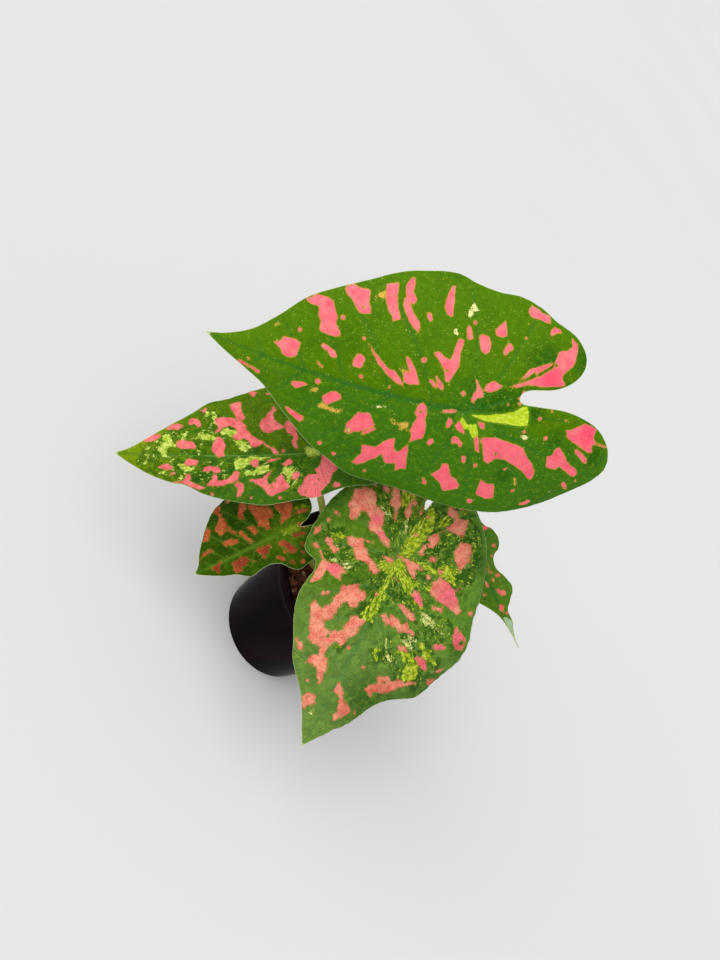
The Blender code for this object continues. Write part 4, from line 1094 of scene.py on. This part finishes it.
LOOKS = {
    "leaf_1": LOOK | {
        "pink": (250, 126, 130), "hot": (255, 84, 112), "hot half": 0.35,
    },
    "leaf_2": LOOK | {
        "left": (54, 106, 22), "right": (78, 111, 0), "tip": (116, 143, 2), "tip reach": (56, 100),
        "heart": (56, 100, 16), "dusk": (20, 64, 4), "fresh": (110, 140, 8), "beside": (56, 104, 24),
        "midrib": (154, 190, 92), "midrib shown": 0.5, "midrib width": 0.42, "vein": (60, 108, 34),
        "lime edge": (50, 96, 8), "patchy": 0.5, "freckles": 0.4, "lime": (148, 176, 40),
        "pale lime": (196, 212, 96), "creamy": 0.35, "lime fray": 6, "rays": 0.4, "fray": 3.0,
        "speckle": 0.5, "halo share": 0.3, "gloss": 0.05, "relief": 0.6, "pink": (250, 128, 126),
        "rose": (226, 98, 102), "shade": (200, 68, 74), "hot": (255, 126, 128),
    },
    # The third blade's greens are paler and greyer on one half and at the tip, partly as painted sheen
    "leaf_3": LOOK | {
        "left": (94, 142, 38), "right": (86, 127, 14), "tip": (112, 147, 62), "tip reach": (20, 60),
        "heart": (94, 140, 8), "heart reach": 18, "dusk": (34, 80, 8), "fresh": (124, 162, 56),
        "mottled": 0.5, "beside": (70, 118, 54), "midrib": (112, 152, 84), "midrib shown": 0.35,
        "midrib width": 1.0, "vein": (84, 132, 66), "rays": 0.55, "dim": 0.45, "lime edge": (30, 80, 4),
        "patchy": 0.7, "freckles": 0.25, "lime": (122, 154, 8), "pale lime": (198, 214, 54),
        "cream": (234, 234, 140), "creamy": 0.5, "lime fray": 7, "cream fray": 6, "fray": 6,
        "pink": (255, 164, 132), "rose": (248, 126, 106), "hot": (255, 110, 128), "shade": (190, 76, 54),
        "shine": (255, 196, 166), "speckle": 0.65, "halo share": 0.25, "gloss": 0.09, "relief": 2.4,
    },
    # The fourth blade's greens and pinks, its hot ones too, are darker and browner as painted shade, since it
    # hangs under the others
    "leaf_4": LOOK | {
        "left": (46, 75, 2), "right": (38, 68, 1), "tip": (50, 80, 3), "tip reach": (30, 60),
        "heart": (90, 115, 6), "heart reach": 17, "dusk": (22, 54, 1), "fresh": (74, 106, 6),
        "beside": (84, 116, 16), "midrib": (88, 128, 44), "midrib shown": 0.25, "midrib width": 1.0,
        "vein": (80, 116, 28), "veined": 0.35, "patchy": 0.45, "rays": 0.5, "freckles": 0.2,
        "lime edge": (54, 90, 6), "lime": (102, 128, 14), "pale lime": (124, 144, 28),
        "cream": (150, 154, 50), "lime fray": 6, "fray": 5, "pink": (194, 102, 56), "rose": (162, 74, 38),
        "hot": (132, 50, 28), "shade": (112, 42, 24), "shine": (214, 126, 88), "speckle": 0.5,
        "halo share": 0.2, "relief": 0.8, "gloss": 0.025,
    },
    "leaf_5": LOOK | {
        "left": (76, 115, 24), "right": (72, 108, 12), "fresh": (100, 136, 28), "pink": (228, 120, 94),
        "rose": (216, 98, 86), "shine": (236, 178, 122), "rays": 0.3, "cream": (160, 184, 140),
        "halo share": 0.3, "fray": 4, "speckle": 0.4, "gloss": 0.08, "relief": 0.6, "patchy": 0.2,
        "freckles": 0.3,
    },
}

blade_rng = np.random.default_rng(20)
for leaf_name in LEAVES:
    blade = make_blade(leaf_name, blade_finish(leaf_name + " skin", LOOKS[leaf_name]), blade_rng)
    stand_in(blade, leaf_name)


# The stalks are solid, juicy leaf stalks, olive green and flecked with brown. Each rises from the
# crown in an arch, sheathed and thicker at its foot, and runs into the ribs below its blade.

STALKS = {
    "stem_1": {"foot": 117, "rise": (-5, 18, 52), "fall": (21, 50, -49), "radii": (2.9, 2.0)},
    "stem_2": {"foot": 189, "rise": (-14, -4, 32), "fall": (24, 9, -30), "radii": (2.7, 1.9)},
    "stem_3": {"foot": 333, "rise": (1, -1, 30), "fall": (4, 6, -28), "radii": (2.7, 1.9)},
    "stem_4": {"foot": 261, "rise": (-6, -5, 20), "fall": (16, 12, -7), "radii": (2.4, 1.7)},
    "stem_5": {"foot": 45, "rise": (2, 4, 32), "fall": (-3, -10, -28), "radii": (2.4, 1.7)},
}
STALK_SIDES = 32
STALK_RINGS = 120
FOOT_CIRCLE = 6.6
CLEARANCE = 0.3
FOOT_FLARE = 0.16
FOOT_FLARE_REACH = 9.0
HEAD_FLARE = 0.7
HEAD_FLARE_REACH = 1.6
STALK_SHARP_ANGLE = 50


def stalk_path(name, rings):
    """The arch of a stalk, from its foot on the crown to the underside of its blade."""
    stalk, leaf = STALKS[name], LEAVES[name.replace("stem", "leaf")]
    up = blade_axes(leaf)[2]
    angle = math.radians(stalk["foot"])
    foot = np.array([FOOT_CIRCLE * math.cos(angle), FOOT_CIRCLE * math.sin(angle), CROWN_HEIGHT + CLEARANCE])
    head = np.array(leaf["junction"], float) - up * BLADE_THICKNESS / 2
    pull_up = foot + np.array(stalk["rise"], float)
    pull_down = head + np.array(stalk["fall"], float)
    t = np.linspace(0, 1, rings)[:, None]
    s = 1 - t
    return s**3 * foot + 3 * s * s * t * pull_up + 3 * s * t * t * pull_down + t**3 * head, up


def make_stalk(name, finish):
    """One stalk, a little ridged along its length, flared at its foot and where it meets the blade."""
    path, up = stalk_path(name, STALK_RINGS)
    wide, slim = STALKS[name]["radii"]
    steps = np.linalg.norm(np.diff(path, axis=0), axis=1)
    along = np.concatenate([[0], np.cumsum(steps)])
    left = along[-1] - along
    radii = wide + (slim - wide) * along / along[-1]
    radii = radii * (1 + FOOT_FLARE * np.exp(-along / FOOT_FLARE_REACH))
    radii += HEAD_FLARE * np.exp(-left / HEAD_FLARE_REACH)
    tangents = np.gradient(path, axis=0)
    tangents /= np.linalg.norm(tangents, axis=1)[:, None]
    first = np.cross(tangents[0], (0.3, 0.9, 0.1))
    points, marks = [], []
    for place, tangent, radius, far in zip(path, tangents, radii, along):
        first = first - tangent * (first @ tangent)
        first /= np.linalg.norm(first)
        second = np.cross(tangent, first)
        for k in range(STALK_SIDES):
            angle = 2 * math.pi * k / STALK_SIDES
            ridged = radius * (1 + 0.02 * math.cos(8 * angle) + 0.03 * math.cos(angle + 0.02 * far))
            points.append(place + ridged * (math.cos(angle) * first + math.sin(angle) * second))
            marks.append((radius * math.cos(angle), radius * math.sin(angle), far))
    head = path[-1]
    for k in range(len(points) - STALK_SIDES, len(points)):
        points[k] = points[k] + tangents[-1] * ((head - points[k]) @ up) / (tangents[-1] @ up)
    for k in range(STALK_SIDES):
        points[k] = np.array([points[k][0], points[k][1], CROWN_HEIGHT + CLEARANCE])
    faces = [tuple(range(STALK_SIDES))[::-1]]
    for ring in range(STALK_RINGS - 1):
        a = ring * STALK_SIDES
        for k in range(STALK_SIDES):
            j = (k + 1) % STALK_SIDES
            faces.append((a + k, a + j, a + STALK_SIDES + j, a + STALK_SIDES + k))
    faces.append(tuple(range(len(points) - STALK_SIDES, len(points))))
    return piece(name + "_stalk", points, faces, finish, STALK_SHARP_ANGLE, grown=marks)


def stalk_finish():
    finish = Finish("stalk skin", Specular_IOR_Level=0.35)
    grown = finish.mark("grown", "Vector")
    streak = finish.noise(finish.stretched(grown, (1, 1, 0.07)), 0.9, 3, 0.6)
    fleck = finish.noise(finish.stretched(grown, (1, 1, 0.35)), 1.3, 4, 0.7)
    height = finish.node("ShaderNodeSeparateXYZ", {}, {"Vector": grown}, "Z")
    olive = finish.mix(paint(162, 168, 52), paint(190, 194, 90), finish.rise(streak, 0.35, 0.7))
    olive = finish.mix(paint(96, 84, 40), olive, finish.rise(height, 4.0, 45.0))
    olive = finish.mix(olive, paint(84, 52, 30), finish.rise(fleck, 0.58, 0.72) * 0.5)
    finish.wear("Base Color", olive)
    finish.wear("Roughness", 0.36 + 0.2 * fleck)
    finish.bump(streak, 0.5, 0.2)
    return finish.made


stalk_skin = stalk_finish()
for stalk_name in STALKS:
    stand_in(make_stalk(stalk_name, stalk_skin), stalk_name)


# Loose bark lies on the mix: flat angular chips of composted pine bark, red-brown to khaki, with
# finer crumb between them. It was poured in round the stalks and has settled at all angles.

CHIPS = 620
CRUMBS = 1500
CHIP_SIZES = (1.8, 4.2)
CRUMB_SIZES = (0.5, 1.3)
CHIP_LIFT = 2.2
CRUMB_LIFT = 1.6
CHIP_LEAN = 0.42
CHIP_TONES = (1.4, 1.7)
CHIP_SHARP_ANGLE = 20
STALK_ROOM = 2.4
STALK_ROOM_RINGS = 60
GOLDEN = (1 + math.sqrt(5)) / 2


def chip_shape():
    """The points and faces of a small twenty-sided block, which every chip is squashed from."""
    points = []
    for a in (-1, 1):
        for b in (-GOLDEN, GOLDEN):
            points += [(0, a, b), (a, b, 0), (b, 0, a)]
    points = np.array(points) / math.hypot(1, GOLDEN)
    edge = 2 / math.hypot(1, GOLDEN)
    faces = []
    for i in range(12):
        for j in range(i + 1, 12):
            for k in range(j + 1, 12):
                sides = [np.linalg.norm(points[p] - points[q]) for p, q in ((i, j), (j, k), (i, k))]
                if max(sides) < edge * 1.05:
                    out = np.cross(points[j] - points[i], points[k] - points[i]) @ points[i]
                    faces.append((i, j, k) if out > 0 else (i, k, j))
    return points, faces


def spin(rng, tilt):
    """A turn about the vertical with a random tilt."""
    heading, lean, way = rng.uniform(0, 2 * math.pi), rng.normal(0, tilt), rng.uniform(0, 2 * math.pi)
    turn = Matrix.Rotation(way, 3, "Z") @ Matrix.Rotation(lean, 3, "X") @ Matrix.Rotation(heading, 3, "Z")
    return np.array(turn)


def bark_finish():
    finish = Finish("pine bark", Specular_IOR_Level=0.3)
    where = finish.place()
    tone = finish.mark("tone")
    layers = finish.noise(finish.stretched(where, (1, 1, 3)), 1.1, 4, 0.65)
    stops = [(0.0, paint(64, 31, 19)), (0.4, paint(118, 60, 37))]
    stops += [(0.75, paint(154, 94, 56)), (1.0, paint(196, 168, 112))]
    bark = finish.node("ShaderNodeValToRGB", {"stops": stops}, {"Fac": tone})
    bark = finish.mix(bark, paint(28, 17, 12), finish.rise(layers, 0.45, 0.75) * 0.6)
    finish.wear("Base Color", bark)
    finish.wear("Roughness", 0.62 + 0.3 * layers)
    finish.bump(layers, 0.8, 0.5)
    return finish.made


def scatter_bark():
    rng = np.random.default_rng(7)
    block, sides = chip_shape()
    stalk_feet = []
    for name in STALKS:
        path = stalk_path(name, STALK_ROOM_RINGS)[0]
        stalk_feet.append(path[np.abs(path[:, 2] - SOIL_TOP - 1).argmin()][:2])
    wall = pot_radius(SOIL_TOP) - POT_WALL
    points, faces, tones = [], [], []
    for number in range(CHIPS + CRUMBS):
        big = number < CHIPS
        size = rng.uniform(*(CHIP_SIZES if big else CRUMB_SIZES))
        reach = (wall - size * 0.9) * math.sqrt(rng.uniform(0, 1))
        angle = rng.uniform(0, 2 * math.pi)
        x, y = reach * math.cos(angle), reach * math.sin(angle)
        if min(math.hypot(x - fx, y - fy) for fx, fy in stalk_feet) < STALK_ROOM + size * 0.8:
            continue
        shape = block * (1 + rng.uniform(-0.3, 0.3, (len(block), 1)))
        flat = (size, size * rng.uniform(0.45, 0.85), size * rng.uniform(0.22, 0.45))
        lift = rng.uniform(0.0, CHIP_LIFT if big else CRUMB_LIFT)
        shape = shape * flat @ spin(rng, CHIP_LEAN).T + (x, y, soil_height(x, y) + lift)
        faces += [tuple(len(points) + k for k in side) for side in sides]
        points += list(shape)
        tones += [rng.beta(*CHIP_TONES)] * len(block)
    return piece("bark_chips", points, faces, bark_finish(), CHIP_SHARP_ANGLE, tone=tones)


bark_chips = scatter_bark()
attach(bark_chips, "root")


# The studio is a plain pale floor under soft light from a large window high on the left, with a
# white room all round. The camera looks down at the plant from the front, as it is held tilted.

AIM = Vector((0.0, 0.0, 90.0)) * MILLIMETRE
CAMERA_DISTANCE = 0.460
ELEVATION = math.radians(40)
ROLL = math.radians(56)
FRAME_WIDTH = 720
FRAME_HEIGHT = 960
LENS_PIXELS = 720
AIM_PIXEL = (352, 583)
SENSOR = 36.0
FLOOR_RADIUS = 60.0
FLOOR_SIDES = 96
ROOM_LIGHT = 0.52
BACKDROP_LIGHT = 0.82


def place_camera():
    back = Vector((0, -math.cos(ELEVATION), math.sin(ELEVATION)))
    level_right = Vector((1, 0, 0))
    level_up = back.cross(level_right)
    right = math.cos(ROLL) * level_right + math.sin(ROLL) * level_up
    up = math.cos(ROLL) * level_up - math.sin(ROLL) * level_right
    reach = CAMERA_DISTANCE / LENS_PIXELS
    spot = AIM + CAMERA_DISTANCE * back
    spot -= (AIM_PIXEL[0] - FRAME_WIDTH / 2) * reach * right
    spot += (AIM_PIXEL[1] - FRAME_HEIGHT / 2) * reach * up
    data = bpy.data.cameras.new("camera")
    data.sensor_width = SENSOR
    data.lens = SENSOR * LENS_PIXELS / FRAME_HEIGHT
    data.clip_start = 0.01
    camera = bpy.data.objects.new("camera", data)
    bpy.context.scene.collection.objects.link(camera)
    camera.matrix_world = Matrix((
        (right.x, up.x, back.x, spot.x), (right.y, up.y, back.y, spot.y),
        (right.z, up.z, back.z, spot.z), (0, 0, 0, 1),
    ))
    bpy.context.scene.camera = camera


def floor_finish():
    finish = Finish("pale floor", Specular_IOR_Level=0.1)
    cloud = finish.noise(finish.place(), 900, 2)
    finish.wear("Base Color", finish.mix(paint(212, 212, 213), paint(218, 218, 218), cloud))
    finish.wear("Roughness", 0.8 + 0.1 * cloud)
    return finish.made


def make_floor():
    turns = np.linspace(0, 2 * math.pi, FLOOR_SIDES + 1)[:-1]
    ring = np.column_stack([np.cos(turns), np.sin(turns), 0 * turns]) * FLOOR_RADIUS
    return piece("floor", ring / MILLIMETRE, [tuple(range(FLOOR_SIDES))], floor_finish())


def sun_lamp(name, strength, width, towards, colour):
    data = bpy.data.lights.new(name, "SUN")
    data.energy = strength
    data.angle = math.radians(width)
    data.color = colour
    lamp = bpy.data.objects.new(name, data)
    lamp.rotation_euler = Vector(towards).to_track_quat("Z", "Y").to_euler()
    bpy.context.scene.collection.objects.link(lamp)


def make_world():
    """A white room: its light on the plant, and a plain backdrop for the camera where the floor ends."""
    room = Finish("white room", world=True, Color=(1.0, 1.0, 0.995, 1))
    seen = room.node("ShaderNodeLightPath", {}, {}, "Is Camera Ray")
    strengths = {"Value": seen, "To Min": ROOM_LIGHT, "To Max": BACKDROP_LIGHT}
    room.wear("Strength", room.node("ShaderNodeMapRange", {}, strengths))
    bpy.context.scene.world = room.made


place_camera()
floor = make_floor()
make_world()
sun_lamp("window", strength=1.2, width=55, towards=(-0.76, -0.32, 0.55), colour=(1.0, 0.99, 0.97))
sun_lamp("overhead", strength=1.6, width=60, towards=(-0.10, -0.45, 0.89), colour=(1.0, 1.0, 1.0))
bpy.context.scene.view_settings.view_transform = "Standard"
